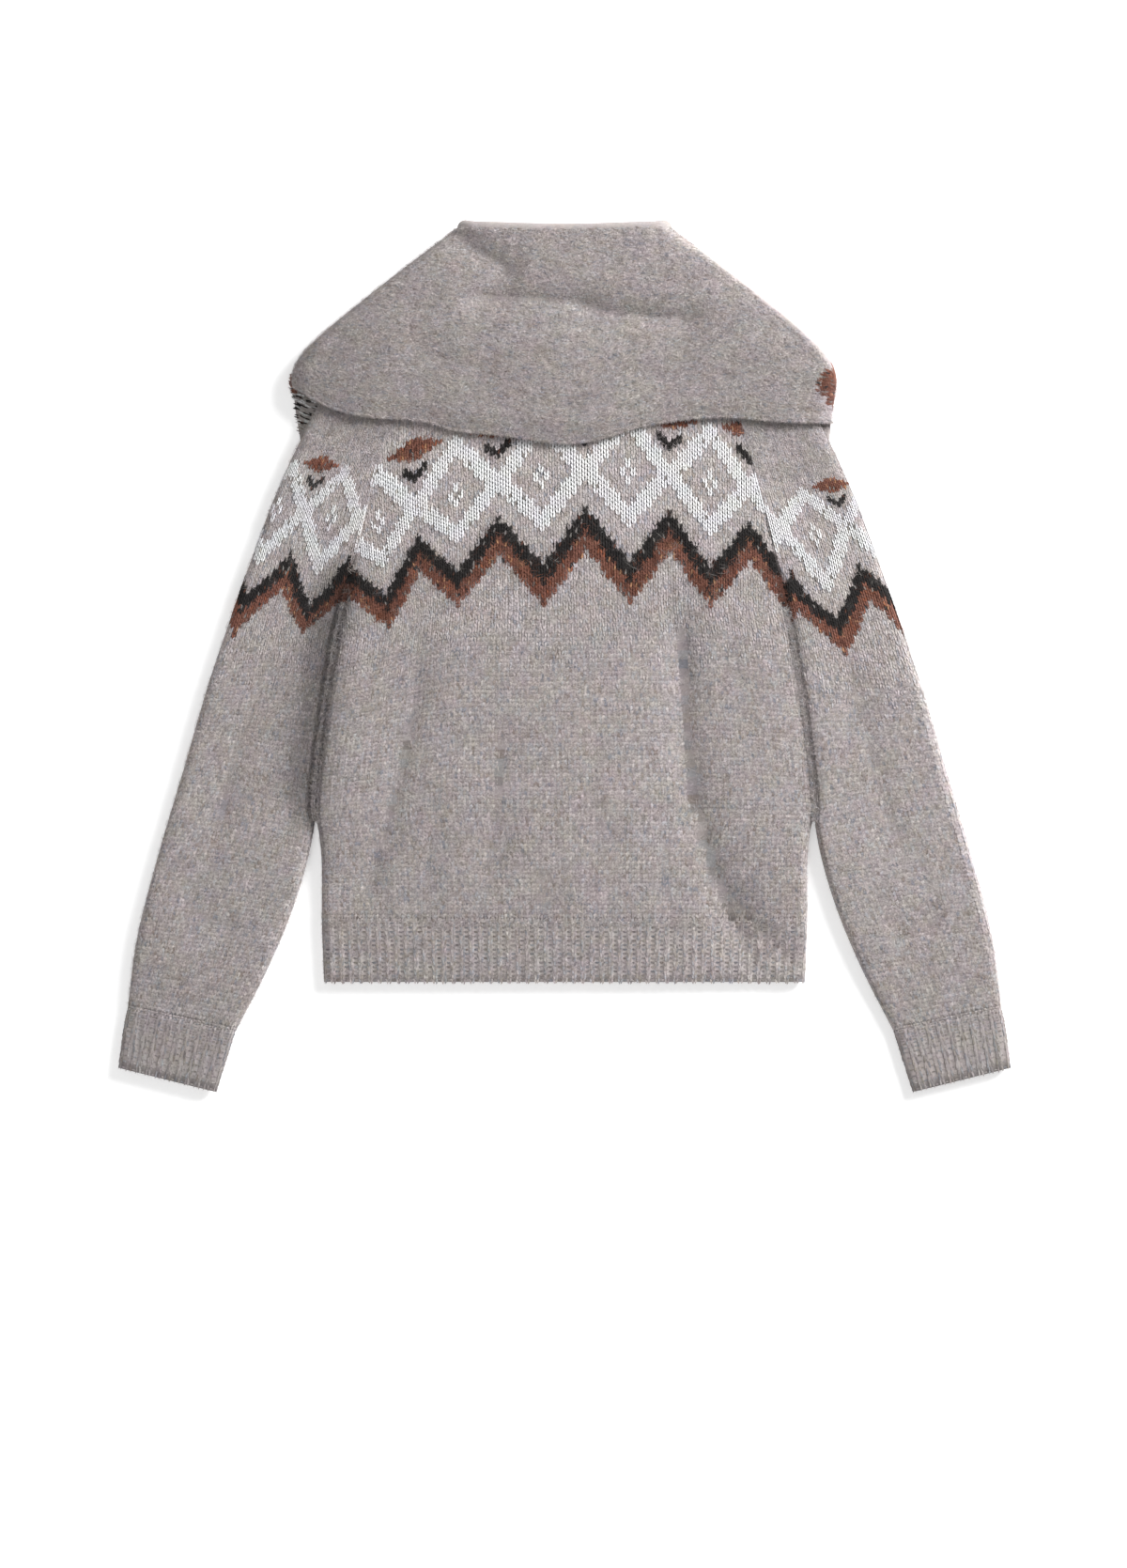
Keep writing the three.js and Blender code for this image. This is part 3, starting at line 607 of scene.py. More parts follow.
def knit_legs(surface, wale, row, yarn, lean=0.30, plump=1.0, deep=1.0, lit=False, even=0.35, flat=False):
    """Batch of the two legs of each knit stitch. surface(wale, row) gives points in millimetres.
    Where flat is true the legs lie broad side up, wide and a little out of place, as in felted cloth."""
    across = surface(wale + 0.5, row) - surface(wale - 0.5, row)
    up_wale = surface(wale, row + 0.5) - surface(wale, row - 0.5)
    crown = unit(np.cross(across, up_wale))
    batch = []
    for side in (-1, 1):
        slack = np.where(yarn == GROUND, 0.06, 0.01)
        middle = surface(wale + side * 0.25 + rng.normal(0, slack), row + 0.25 + rng.normal(0, slack))
        # painted shade: deep darkens the legs, and where lit is true the valleys and rolled edges do too
        shade = deep
        if lit:
            x, y = middle[:, 0], middle[:, 1]
            shade = deep * valley_light(x, y) * roll_light(x, y, crown[:, 2])
        along = 1.5 * up_wale + side * lean * across - 0.35 * crown
        width = np.linalg.norm(across, axis=-1)
        length = np.linalg.norm(along, axis=-1) * rng.normal(1.04, 0.04, len(wale))
        size = np.stack([width * np.where(flat, 0.78, 0.52) * plump, length, PLY[yarn] * plump], -1)
        facing = np.where(np.broadcast_to(flat, wale.shape)[:, None], -crown, crown)
        batch.append((middle + crown * 0.05, along, facing, size, dyed_and_shaded(yarn, shade, even)))
    return [tuple(np.concatenate(part) for part in zip(*batch))]


def knit_cloth(name, surface, wale, row, yarn):
    """The stitches of a panel in two pieces: plain knit below the band, and rounder stitches in it."""
    felted = (yarn == GROUND) & (row + rng.normal(0, 5, len(row)) < PLAIN_TOP - 2)
    made = []
    for part, pick, rings in (("plain", row < PLAIN_TOP, 2), ("band", row >= PLAIN_TOP, 3)):
        legs = knit_legs(surface, wale[pick], row[pick], yarn[pick], lit=True, flat=felted[pick])
        made.append(laid_yarn(f"{name}_{part}_stitches", legs, MARLED_KNIT, rings))
    return made


# %% [markdown]
# Real yarn is matt and full of short fibres, so its finish is rough, with a little sheen where the
# hairs catch the light. The colour comes from each stitch's own yarn. A fine noise darkens and lightens
# it, and gives it a hairy bump. The noise is a millimetre and a half wide, which is as fine as the render
# shows; the real fibres are finer still.


# %% Yarn finishes
def yarn_material(name, roughness, sheen, grain, contrast, bump):
    """Matt woollen yarn. grain is the size in millimetres of its light and dark patches."""
    material = bpy.data.materials.new(name)
    material.use_nodes = True
    tree = material.node_tree
    shader = tree.nodes["Principled BSDF"]
    shader.inputs["Roughness"].default_value = roughness
    shader.inputs["Sheen Weight"].default_value = sheen
    shader.inputs["Sheen Roughness"].default_value = 0.6
    shader.inputs["Specular IOR Level"].default_value = 0.25
    yarn = add(tree, "ShaderNodeAttribute", attribute_name="yarn")
    place = add(tree, "ShaderNodeTexCoord")
    coarse = add(tree, "ShaderNodeTexNoise", {
        "Vector": place.outputs["Object"], "Scale": 1000 / grain, "Detail": 3.0, "Roughness": 0.7})
    level = add(tree, "ShaderNodeMapRange", {
        "Value": coarse.outputs["Fac"], "From Min": 0.3, "From Max": 0.7,
        "To Min": 1 - contrast, "To Max": 1 + contrast})
    shade = add(tree, "ShaderNodeVectorMath", {
        0: yarn.outputs["Color"], 1: level.outputs["Result"]}, operation="MULTIPLY")
    wide = add(tree, "ShaderNodeTexNoise", {
        "Vector": place.outputs["Object"], "Scale": 1000 / 22, "Detail": 2.0, "Roughness": 0.6})
    cool = add(tree, "ShaderNodeMapRange", {
        "Vector": wide.outputs["Color"], "From Min": (0.35,) * 3, "From Max": (0.65,) * 3,
        "To Min": (0.985, 0.98, 0.97), "To Max": (1.015, 1.02, 1.03)}, data_type="FLOAT_VECTOR")
    patchy = add(tree, "ShaderNodeVectorMath", {
        0: shade.outputs["Vector"], 1: cool.outputs["Vector"]}, operation="MULTIPLY")
    tree.links.new(patchy.outputs["Vector"], shader.inputs["Base Color"])
    hairs = add(tree, "ShaderNodeTexNoise", {
        "Vector": place.outputs["Object"], "Scale": 3000 / grain, "Detail": 2.0})
    relief = add(tree, "ShaderNodeBump", {
        "Height": hairs.outputs["Fac"], "Strength": bump, "Distance": 0.0004})
    tree.links.new(relief.outputs["Normal"], shader.inputs["Normal"])
    return material


# stocking stitch in marled wool: matt, with a soft mottle inside each yarn
MARLED_KNIT = yarn_material("marled_wool_knit", 0.95, 0.15, 1.6, 0.45, 0.4)
# the same wool in ribs: knitted tighter, so a little smoother
RIB_KNIT = yarn_material("marled_wool_rib", 0.95, 0.15, 1.6, 0.42, 0.4)
# the same wool brushed: the dullest and roughest, with the most sheen from its hairs
BRUSHED_KNIT = yarn_material("brushed_wool_knit", 0.97, 0.2, 1.6, 0.5, 0.5)
# single hairs: thin and even along their length, so nearly one colour each
NAP = yarn_material("wool_hairs", 0.9, 0.1, 3.0, 0.12, 0.0)
# the felted ground between the stitches: dull, with hardly any sheen
SHELL = yarn_material("wool_backing", 0.98, 0.05, 1.6, 0.15, 0.3)

# %% [markdown]
# A panel starts as a closed shell: a grid of outer points over a grid of inner ones, joined by rims. It
# lies a little inside the solid, so that the stitches on it come up to the solid's surface. Where a
# sleeve is a tube, its first and last columns are one and have no rim between them.


# %% Closed shells of cloth
SUNK = 1.1  # how far the shell lies inside the solid's upper face


def shell(name, outer, inner, closed_from=None):
    """A closed wall of cloth from two grids of points. From the row closed_from on, it is a tube."""
    rows, columns = outer.shape[0] - 1, outer.shape[1] - 1
    closed_from = rows if closed_from is None else closed_from
    count = (rows + 1) * (columns + 1)
    at = np.arange(count).reshape(rows + 1, columns + 1)
    quads = np.stack([at[:-1, :-1], at[:-1, 1:], at[1:, 1:], at[1:, :-1]], -1).reshape(-1, 4)

    def rim(start, end):
        """Faces between the outer and the inner face, along a row of edges."""
        return np.stack([start, end, end + count, start + count], -1)

    first, last = at[: closed_from + 1, 0], at[: closed_from + 1, -1]
    faces = np.concatenate([
        quads, quads[:, ::-1] + count, rim(first[:-1], first[1:]), rim(last[1:], last[:-1]),
        rim(at[0, 1:], at[0, :-1]), rim(at[-1, :-1], at[-1, 1:])])
    points = np.concatenate([outer.reshape(-1, 3), inner.reshape(-1, 3)])
    made = mesh_piece(name, points, faces.tolist())
    work = bmesh.new()
    work.from_mesh(made.data)
    bmesh.ops.remove_doubles(work, verts=work.verts, dist=4e-6)
    bmesh.ops.dissolve_degenerate(work, edges=work.edges, dist=1e-7)
    bmesh.ops.recalc_face_normals(work, faces=work.faces)
    if work.calc_volume(signed=True) < 0:
        bmesh.ops.reverse_faces(work, faces=work.faces)
    open_edges = sum(not e.is_manifold for e in work.edges)
    layer = round(sum(f.calc_area() for f in work.faces) / 2, 4)
    work.to_mesh(made.data)
    work.free()
    made.data.shade_smooth()
    print(name, len(made.data.polygons), "faces,", open_edges, "open edges, one layer", layer, "m2")
    return made


# %% [markdown]
# A shell shows between its stitches, so each of its faces takes the yarn of the nearest stitch, dimmed
# by a painted shade. Under the white stitches it is much darker: partly for the charcoal yarn that runs
# along behind them, partly by painted shade. On the rolled edges it is darkened further by painted
# shade, as the stitches are.


# %% The colours of a shell
def paint(piece, colour_of, material):
    """Gives each face the yarn colour that colour_of has for its middle, in millimetres, and direction."""
    middles = np.array([p.center for p in piece.data.polygons]) * 1000 - SHIFT
    normals = np.array([p.normal for p in piece.data.polygons])
    colour = colour_of(middles, normals)
    store_yarn(piece.data, np.repeat(colour, [p.loop_total for p in piece.data.polygons], axis=0), "CORNER")
    piece.data.materials.clear()
    piece.data.materials.append(material)


def nearest(places, values):
    """A reader of the value that the nearest stitch has."""
    tree = KDTree(len(places))
    for k, p in enumerate(places):
        tree.insert(p, k)
    tree.balance()
    return lambda at: values[[tree.find(p)[1] for p in at]]


def between_stitches(places, yarn, shades):
    """Colours of a shell whose stitches have these places, yarns and colours, dimmed by painted shade."""
    # painted shade: 0.78 between stitches; under white 0.16, partly charcoal behind, partly shade
    read = nearest(places, np.where((yarn == WHITE)[:, None], 0.16, 0.78) * shades)

    def colour_of(middles, normals):
        return read(middles) * roll_light(middles[:, 0], middles[:, 1], normals[:, 2])[:, None]

    return colour_of


# %% [markdown]
# The wales of the back fan and lean a little, as the cloth was laid. Two lines across the yoke say where
# each wale is: the lowest points of the zigzag and the middles of the diamonds. Below them the wales
# run straight down to the hem rib, and above them they go on under the collar.

# %% The stitches' places on the back
BACK_WALES = np.array([-48, -32, -16, 0, 16, 32, 48], float)
ZIGZAG_LINE = np.array([
    (-236, 12), (-161.8, 27.8), (-98.3, 47), (-19.1, 47.9), (60.5, 50), (134.9, 47), (209, 40)])
DIAMOND_LINE = np.array([
    (-232, 95), (-172.3, 124.4), (-100.5, 149.6), (-21.8, 167.9), (58.3, 172.3), (134, 161), (205, 150)])
DIAMOND_ROW, ROWS_BELOW = 31, 72
# how far down the collar reaches, from left to right
COLLAR_REACH = np.array([
    (-250, 249), (-213, 229), (-129, 217), (-56, 204), (0, 198), (70, 212), (137, 221), (250, 216)], float)


def body_share(x, y):
    """Share of the way round at which a place on the flat part of the body lies."""
    edge_turn = QUARTER * openness(y)
    return x / (side_edge(y) - ROLL * np.cos(edge_turn) + (QUARTER - edge_turn) * ROLL_RADIUS)


def back_place(wale, row):
    """How far round the back, and at what height, a stitch is."""
    zx, zy = (smooth_read(BACK_WALES, ZIGZAG_LINE[:, k], wale) for k in (0, 1))
    dx, dy = (smooth_read(BACK_WALES, DIAMOND_LINE[:, k], wale) for k in (0, 1))
    down, up = np.clip(-row / ROWS_BELOW, 0, 1.1), np.maximum(row, 0) / DIAMOND_ROW
    x = zx + (dx - zx) * np.minimum(up, 1) + 0.4 * (dx - zx) * np.maximum(up - 1, 0)
    y = zy + (dy - zy) * np.minimum(up, 1) + DIAMOND_ROW * ROW * np.maximum(up - 1, 0)
    share = body_share(x, y)
    y = y + (RIB_TOP + SEAM - y) * down
    share = share + ((wale - 2.85) / 44.55 - share) * down
    return share, y


def back_stitch(wale, row):
    """Place of a stitch on the back's shell."""
    return body_surface(*back_place(wale, row), SUNK)


def counted(wales, rows):
    """Every pair of a wale and a row, as two lists."""
    return (v.ravel().astype(float) for v in np.meshgrid(wales, rows))


back_wale, back_row = counted(np.arange(-47, 54), np.arange(-ROWS_BELOW - 1, 52))
share, height = back_place(back_wale, back_row + 0.5)
hidden = smooth_read(COLLAR_REACH[:, 0], COLLAR_REACH[:, 1], share * side_edge(height)) + 22
keep = (np.abs(share) < 0.997) & (height < np.minimum(hidden, 252))
back_wale, back_row = back_wale[keep], back_row[keep]
back_yarn = chart(back_wale, back_row)
back_yarn[(np.abs(back_wale) > 46) & (back_row > 33) & (back_yarn != WHITE)] = GROUND
back_places = back_stitch(back_wale, back_row + 0.5)
# the back's colours for its shell and hairs, with the painted shade of the valleys
back_shades = dyed_and_shaded(back_yarn, valley_light(back_places[:, 0], back_places[:, 1]))
back_knit = knit_cloth("back", back_stitch, back_wale, back_row, back_yarn)

# %% [markdown]
# The back's own shell follows the shoulders and the neck, which the collar hides. Its columns stand closer
# towards the sides, where the cloth rolls over.


# %% The back
def crowded(k, count):
    """Share of the way round of column k, closer together towards the side."""
    return 1 - (1 - k / count) ** 1.55


def back_grid(depth, rows=64, half=26):
    """Points of the back's wall at a depth in it, from the hem rib to the shoulders."""
    k = np.arange(-half, half + 1)
    row_y = np.linspace(RIB_TOP + SEAM, SHOULDER_Y, rows + 1)[:, None]
    t = np.sign(k) * crowded(np.abs(k), half)
    x, turn = across_body(row_y, np.abs(t)[None, :])
    top = shoulder_line(x * SHOULDER_X / side_edge(row_y))
    y = row_y + (top - SHOULDER_Y) * ease(150, SHOULDER_Y, row_y)
    side = np.where(k < 0, -1.0, 1.0)[None, :]
    high, low = upper_height("body", x * side, y), underside(y)
    p = wall_point(x * side, y, side, 0, turn, low, high, depth)
    p[..., 2] = np.maximum(p[..., 2], (low + high) / 2 + SEAM / 2)
    return p


back = shell("back_cloth", back_grid(SUNK), back_grid(WALL))
paint(back, between_stitches(back_places, back_yarn, back_shades), SHELL)

# %% [markdown]
# A sleeve is one tube of knit, flattened, that narrows from the shoulder to the wrist. The band of the
# yoke runs on round it, but each sleeve was set in and laid a little turned, so its stitches have their
# own count from the seam and their own height. The left sleeve's wales run the other way about, because
# the side of the body is on its other hand.

# %% Sleeves
SLEEVE_ROW_KEYS = np.arange(len(SLEEVE_ROWS))


def sleeve_lengths():
    """Distance down the middle of a sleeve to each of its rows."""
    fine = np.linspace(0, SLEEVE_ROW_KEYS[-1], 441)
    ix, iy, rx, ry, width = sleeve_row(SLEEVE_ROWS, fine)
    steps = np.hypot(np.diff(ix + rx * width / 2), np.diff(iy + ry * width / 2))
    return np.interp(SLEEVE_ROW_KEYS, fine, np.append(0, np.cumsum(steps)))


SLEEVE_LENGTH = sleeve_lengths()
print("sleeve", round(SLEEVE_LENGTH[-1]), "mm long above the cuff")


def sleeve_place(side, wale, row):
    """How far along a sleeve and how far round it a stitch is."""
    if side < 0:
        t = 0.33 - 0.565 * wale / 16
        diamond, zigzag, pitch, rows_below = 4.11 + 0 * t, 5.775 + 0.96 * (t - 0.322), 0.063, 90
    else:
        t = 0.45 + 0.65 * wale / 16
        diamond = 4.352 - 0.5 * np.maximum(0, 0.4 - t)
        zigzag, pitch, rows_below = 6.161 + 0.95 * (t - 0.379), 0.050, 85
    down = np.clip(-row / rows_below, 0, 1)
    length = np.interp(zigzag, SLEEVE_ROW_KEYS, SLEEVE_LENGTH)
    below = np.interp(length + (SLEEVE_LENGTH[-1] - length) * down, SLEEVE_LENGTH, SLEEVE_ROW_KEYS)
    over = np.maximum(row - DIAMOND_ROW, 0)
    up = zigzag + (diamond - zigzag) * np.clip(row / DIAMOND_ROW, 0, 1) - pitch * over
    return np.where(row < 0, below, up), t


def sleeve_stitch(side, wale, row):
    """Place of a stitch on a sleeve's shell."""
    return sleeve_surface(side, SLEEVE_ROWS, *sleeve_place(side, wale, row), SUNK)


def sleeve_grid(side, depth):
    """Points of a sleeve's wall at a depth in it: half a tube at the armhole, a whole one below."""
    steps = np.concatenate([np.linspace(0, 5, 26)[:-1], np.linspace(5, 11, 49)])[:, None]
    t = np.concatenate([np.linspace(0, 1, 23), np.linspace(1, 2, 15)[1:]])
    t = t - 0.06 * np.sin(2 * np.pi * t)
    return sleeve_surface(side, SLEEVE_ROWS, steps, t[None, :], depth)


UNDERARM_STEP = 25
sleeves, sleeve_knit = {}, {}
for side_name, side in SIDES:
    wale, row = counted(np.arange(-24, 24), np.arange(-90, 84))
    at, t = sleeve_place(side, wale, row + 0.5)
    keep = (t > 0.004) & (t < 1.03) & (at > 1.2) & (at < 10.98) & (row >= (-90 if side < 0 else -85))
    wale, row = wale[keep], row[keep]
    yarn = chart(wale, row)
    yarn[(side * wale < -2) & (row > 33) & (yarn != WHITE)] = GROUND
    stitch = partial(sleeve_stitch, side)
    places = stitch(wale, row + 0.5)
    # the sleeve's colours for its shell and hairs, with the painted shade of the valleys
    shades = dyed_and_shaded(yarn, valley_light(places[:, 0], places[:, 1]))
    legs = knit_cloth(f"sleeve_{side_name}", stitch, wale, row, yarn)
    walls = [sleeve_grid(side, depth) for depth in (SUNK, WALL)]
    cloth = shell(f"sleeve_{side_name}_cloth", *walls, UNDERARM_STEP)
    paint(cloth, between_stitches(places, yarn, shades), SHELL)
    sleeves[side_name] = (cloth, legs)
    sleeve_knit[side_name] = (stitch, wale, row, shades, yarn)

# %% [markdown]
# A sleeve is sewn in with a mattress seam, drawn so tight that the knit seems to run on across it. One
# more wale of stitches lies along the seam, in the yarns of the stitches beside it, and closes the gap.
# Below the armhole, body and sleeve only lie against each other. There the felted edges catch, so a
# matted strand and loose hairs fill the bottom of the valley, and the table does not show through. Both
# are darkened with a painted shade, the strand the more where it lies lower.


# %% The armhole seams
def edge_wale(side, bottom, width, sink, w, r):
    """Place on one wale of stitches, laid up along the body's edge from a height."""
    y = bottom + r * ROW
    x = side * (side_edge(y) + SEAM)
    return np.stack(np.broadcast_arrays(x + width * w, y, sink(upper_height("body", x, y))), -1)


near_yarn = nearest(back_places, back_yarn)
seam_row, gap_row = np.arange(39), np.arange(61)
seam_legs, gap_hairs = [], []
for side, strand_height_and_shade in ((-1, 0.65), (1, 0.8)):
    on_seam = partial(edge_wale, side, 98, 4.8, lambda high: high - SUNK - 0.2)
    seam_yarn = near_yarn(on_seam(0.0 * seam_row, seam_row + 0.5))
    seam_legs += knit_legs(on_seam, 0.0 * seam_row, seam_row, seam_yarn)
    in_gap = partial(edge_wale, side, -150, 4.6, lambda high, share=strand_height_and_shade: share * high)
    spots = in_gap(0.0 * gap_row, gap_row + 0.5)
    gap_yarn = near_yarn(spots)
    # painted shade: the strand is darker the lower it lies, and lit adds the valley's shade
    seam_legs += knit_legs(in_gap, 0.0 * gap_row, gap_row, gap_yarn, deep=strand_height_and_shade, lit=True, flat=True)
    over_gap = partial(edge_wale, side, -150, 4.6, lambda high: 0.95 * high)
    # painted shade: the hairs over the gap take the valley's shade and are dimmed a little more
    gap_hairs.append((over_gap, dyed_and_shaded(gap_yarn, 0.9 * valley_light(spots[:, 0], spots[:, 1]))))
seam_knit = laid_yarn("armhole_seams", seam_legs, MARLED_KNIT)

# %% [markdown]
# The rib at the hem is knitted one and one: raised columns of knit stitches with furrows of purl
# between them. The shell carries the ridges on its upper side, and a chain of V's runs up each ridge.
# The side that the garment lies on is pressed flat. Ribs are knitted tight and shade themselves more than
# these low ridges do, so their yarn is darkened with a painted shade, on the cuffs most.

# %% Ribs of the hem and the cuffs
RIB_HEIGHT, HEM_RIBS, CUFF_RIBS = 0.4, 53, 11
# painted shade: the ribs' yarn is darkened for the shade that tight ribs cast on themselves
HEM_SHADE, CUFF_SHADE = 0.82, 0.60  # brightness of the ribs' yarn
RIB_ROWS = 14


def ridge(phase):
    """Height of the ribbed cloth, about its middle, where phase goes up by one for each rib."""
    return RIB_HEIGHT * (0.5 - 0.5 * np.cos(2 * np.pi * phase)) - RIB_HEIGHT / 2


def dying(y):
    """The hem's ribs die away into the plain knit over their last rows."""
    return 1 - 0.8 * ease(RIB_TOP - 20, RIB_TOP - 2, y)


def hem_surface(rib, row):
    """Place on the hem's shell, by the count of ribs from the left and of rows from the edge."""
    phase, y = rib + 0.5, HEM_Y + row * ROW
    return body_surface(2 * phase / HEM_RIBS - 1, y, SUNK, ridge(phase) * dying(y))


def cuff_surface(side, rib, row):
    """Place on a cuff's shell, by the count of ribs from its left and of rows from the sleeve."""
    phase = rib + 0.5 if side > 0 else CUFF_RIBS - 0.5 - rib
    return sleeve_surface(side, CUFF_ROWS, 2 * row / (RIB_ROWS - 0.2), phase / CUFF_RIBS, SUNK, ridge(phase))


def rib_chain(surface, ribs, rows, depth):
    """Batches of the V's that run up the ridges, narrower than a rib, and of the purl bumps between."""
    rib, row = counted(np.arange(ribs), np.arange(rows))
    yarn = np.full(len(rib), GROUND)

    def on_ridge(w, r):
        """The surface with its wales drawn together to the width of a ridge."""
        return surface(rib + 0.62 * (w - rib), r)

    legs = knit_legs(on_ridge, rib, row, yarn, lean=0.22, plump=0.9, deep=depth, even=0.0)
    along, up, crown = axes_at(surface, rib - 0.5, row + 0.5, 0.1, 0.3)
    wide, long = rng.normal(3.0, 0.2, len(rib)), rng.normal(4.4, 0.4, len(rib))
    size = np.stack([wide, long, np.full(len(rib), 1.2)], 1)
    # painted shade: the purl bumps in the furrows are a little darker than the V's
    bumps = (surface(rib - 0.5, row + 0.5) + 0.15 * crown, along, crown, size, dyed_and_shaded(yarn, depth * 0.97, 0.0))
    return legs + [bumps], rib, row, dyed_and_shaded(yarn, depth, 0.5)


def ribbed(phase_of, depth, shade=0.82):
    """Colours of a ribbed shell, with a painted shade that is darker in the furrows."""

    def colour_of(middles, _):
        marl = (MARL[rng.choice(len(MARL), len(middles), p=MARL_SHARE)] * 0.3 + YARN[GROUND] * 0.7) * depth
        return marl * (shade + 0.25 * (0.5 - 0.5 * np.cos(2 * np.pi * phase_of(middles))))[:, None]

    return colour_of


hem_t = np.linspace(-1, 1, HEM_RIBS * 6 + 1)[None, :]
hem_y = np.linspace(HEM_Y, RIB_TOP, 8)[:, None]
hem_ridges = ridge((hem_t + 1) / 2 * HEM_RIBS) * dying(hem_y)
hem_rib = shell(
    "back_hem_cloth", body_surface(hem_t, hem_y, SUNK, hem_ridges), body_surface(hem_t, hem_y, WALL))
paint(hem_rib, ribbed(lambda m: (body_share(m[:, 0], m[:, 1]) + 1) / 2 * HEM_RIBS, HEM_SHADE), SHELL)
hem_batch, hem_k, hem_r, hem_shades = rib_chain(hem_surface, HEM_RIBS, RIB_ROWS, HEM_SHADE)
hem_legs = laid_yarn("back_hem_stitches", hem_batch, RIB_KNIT)

# %% [markdown]
# The cuffs are ribbed in the same way, round the tube of the wrist. Only the upper half has ridges.

# %% The cuffs
cuff_t = np.concatenate([np.linspace(0, 1, CUFF_RIBS * 6 + 1), np.linspace(1, 2, 15)[1:]])[None, :]
cuff_at = np.linspace(0, 2, 9)[:, None]
at_edges = (cuff_t < 1.0001) | (cuff_t > 1.9999)
cuff_ridges = np.where(cuff_t < 1, ridge(cuff_t * CUFF_RIBS), -RIB_HEIGHT / 2 * at_edges)
cuffs, cuff_knit = {}, {}
for side_name, side in SIDES:
    outer = sleeve_surface(side, CUFF_ROWS, cuff_at, cuff_t, SUNK, cuff_ridges)
    inner = sleeve_surface(side, CUFF_ROWS, cuff_at, cuff_t, WALL)
    cloth = shell(f"cuff_{side_name}_cloth", outer, inner, 0)
    paint(cloth, ribbed(lambda m: m[:, 0] / 8, CUFF_SHADE), SHELL)
    on_cuff = partial(cuff_surface, side)
    batch, cuff_k, cuff_r, shades = rib_chain(on_cuff, CUFF_RIBS, RIB_ROWS, CUFF_SHADE)
    cuffs[side_name] = (cloth, laid_yarn(f"cuff_{side_name}_stitches", batch, RIB_KNIT))
    cuff_knit[side_name] = (on_cuff, cuff_k, cuff_r, shades)

# %% [markdown]
# The two fronts lie underneath and meet at the middle, with their neck edges falling away from it. The
# band of pattern runs on round them. They are pressed flat by the weight above and nobody sees them as
# laid, so their stitches are only colours on the shell.


# %% The fronts
FRONT_SUNK = 0.4  # how far the fronts' shells lie inside their solids
FRONT_EDGE_X = 1.5  # half the parting of the two fronts
V_X, V_Y = 4, 165  # where the neck edge starts


def front_grid(side, depth, bottom, top_rows):
    """Grid of a front, up to the start of the neck edge, and above it by top_rows more rows."""
    climb = np.linspace(0, 1, top_rows + 1)[1:] if top_rows else np.zeros(0)
    last = V_Y if top_rows else RIB_TOP
    straight = np.linspace(bottom, last, max(2, round((last - bottom) / ROW / 2)))
    row_y = np.concatenate([straight, V_Y + (SHOULDER_Y - V_Y) * climb])[:, None]
    inner_x = np.concatenate([np.full(len(straight), FRONT_EDGE_X), V_X + (NECK_X - V_X) * climb])[:, None]
    if top_rows:
        inner_x = np.maximum(inner_x, FRONT_EDGE_X + (V_X - FRONT_EDGE_X) * ease(V_Y - 20, V_Y, row_y))
    inner_y = np.concatenate([straight, V_Y + (NECK_Y - V_Y) * climb])[:, None]
    reach, turn = across_body(row_y, crowded(np.arange(49), 48)[None, :])
    share = reach / side_edge(row_y)
    x = side * (inner_x + (side_edge(row_y) - inner_x) * share)
    y = inner_y + (row_y - inner_y) * share
    high, low = upper_height("body", x, y), underside(y)
    p = wall_point(x, y, side, 0, -turn, low, high, depth)
    p[..., 2] = np.minimum(p[..., 2], (low + high) / 2 - SEAM / 2)
    return p


def band_on(middles, _):
    """Yarn colours of the plain sides, by their place."""
    return dyed_and_shaded(chart(middles[:, 0] / STITCH - 3, (middles[:, 1] - 48) / ROW)) * 0.85


fronts = {}
for side_name, side in SIDES:
    walls = [front_grid(side, depth, RIB_TOP + SEAM, 32) for depth in (FRONT_SUNK, WALL)]
    front = shell(f"front_{side_name}_cloth", *walls)
    paint(front, band_on, MARLED_KNIT)
    walls = [front_grid(side, depth, HEM_Y, 0) for depth in (FRONT_SUNK, WALL)]
    rib = shell(f"front_hem_{side_name}_cloth", *walls)
    paint(rib, ribbed(lambda m: m[:, 0] / 8.4, HEM_SHADE, 0.8), RIB_KNIT)
    fronts[side_name] = (front, rib)

# %% [markdown]
# The shawl collar is one wide strip, sewn to the neck, that stands up at the back and folds over. Its
# two side folds are wide, because the fall is flattened round the neck. The place of each point comes
# from the side fold, a smooth curve from the top corner to the point below the shoulder. On the left the
# fall ends short of that point.


# %% The collar's folds
SIDE_FOLD = np.array([
    (100, 397.5), (144, 364), (188, 329.5), (227, 297), (246, 276), (252.5, 258), (250.5, 240),
    (247.5, 216)], float)
CORNER_X, CORNER_Y = SIDE_FOLD[0]
FRONT_FREE = np.array([(4, 152), (110, 154), (196, 168), (236, 186), (246, 202)], float)
FREE_EDGE = np.array([
    (-250, 249), (-235, 240), (-213, 229), (-184, 222), (-129, 217), (-102, 209), (-56, 204), (-3, 197),
    (31, 200), (70, 212), (137, 221), (204, 217), (248, 216)], float)
COLLAR_FOLDS = [
    (-92, 331, 30, 325, -2, 9, 4.4), (10, 326, 128, 313, 5, 9, 4.8), (-104, 392, -44, 350, 0, 9, 4.4),
    (-150, 300, -60, 262, 8, 14, 1.4), (60, 262, 190, 262, 10, 16, 1.2), (-200, 300, -232, 262, 0, 10, 1.0),
    (180, 318, 228, 268, -6, 12, 1.0), (-40, 300, 60, 296, -6, 14, 0.8), (-10, 225, 110, 240, 4, 12, 0.6)]
COLLAR_LOFT, COLLAR_SWELL, COLLAR_END_DROP, COLLAR_EDGE_DROP, COLLAR_TOP_DIP = 21.5, 2, 1.5, 5, 2.6
FALL_ROLL, FALL_RADIUS = 15, 12.5
STAND_HALF, STAND_LOFT, STAND_ROLL = 88, 13.0, 9
FRONT_ROLL_Y = 190  # where the front edge turns over


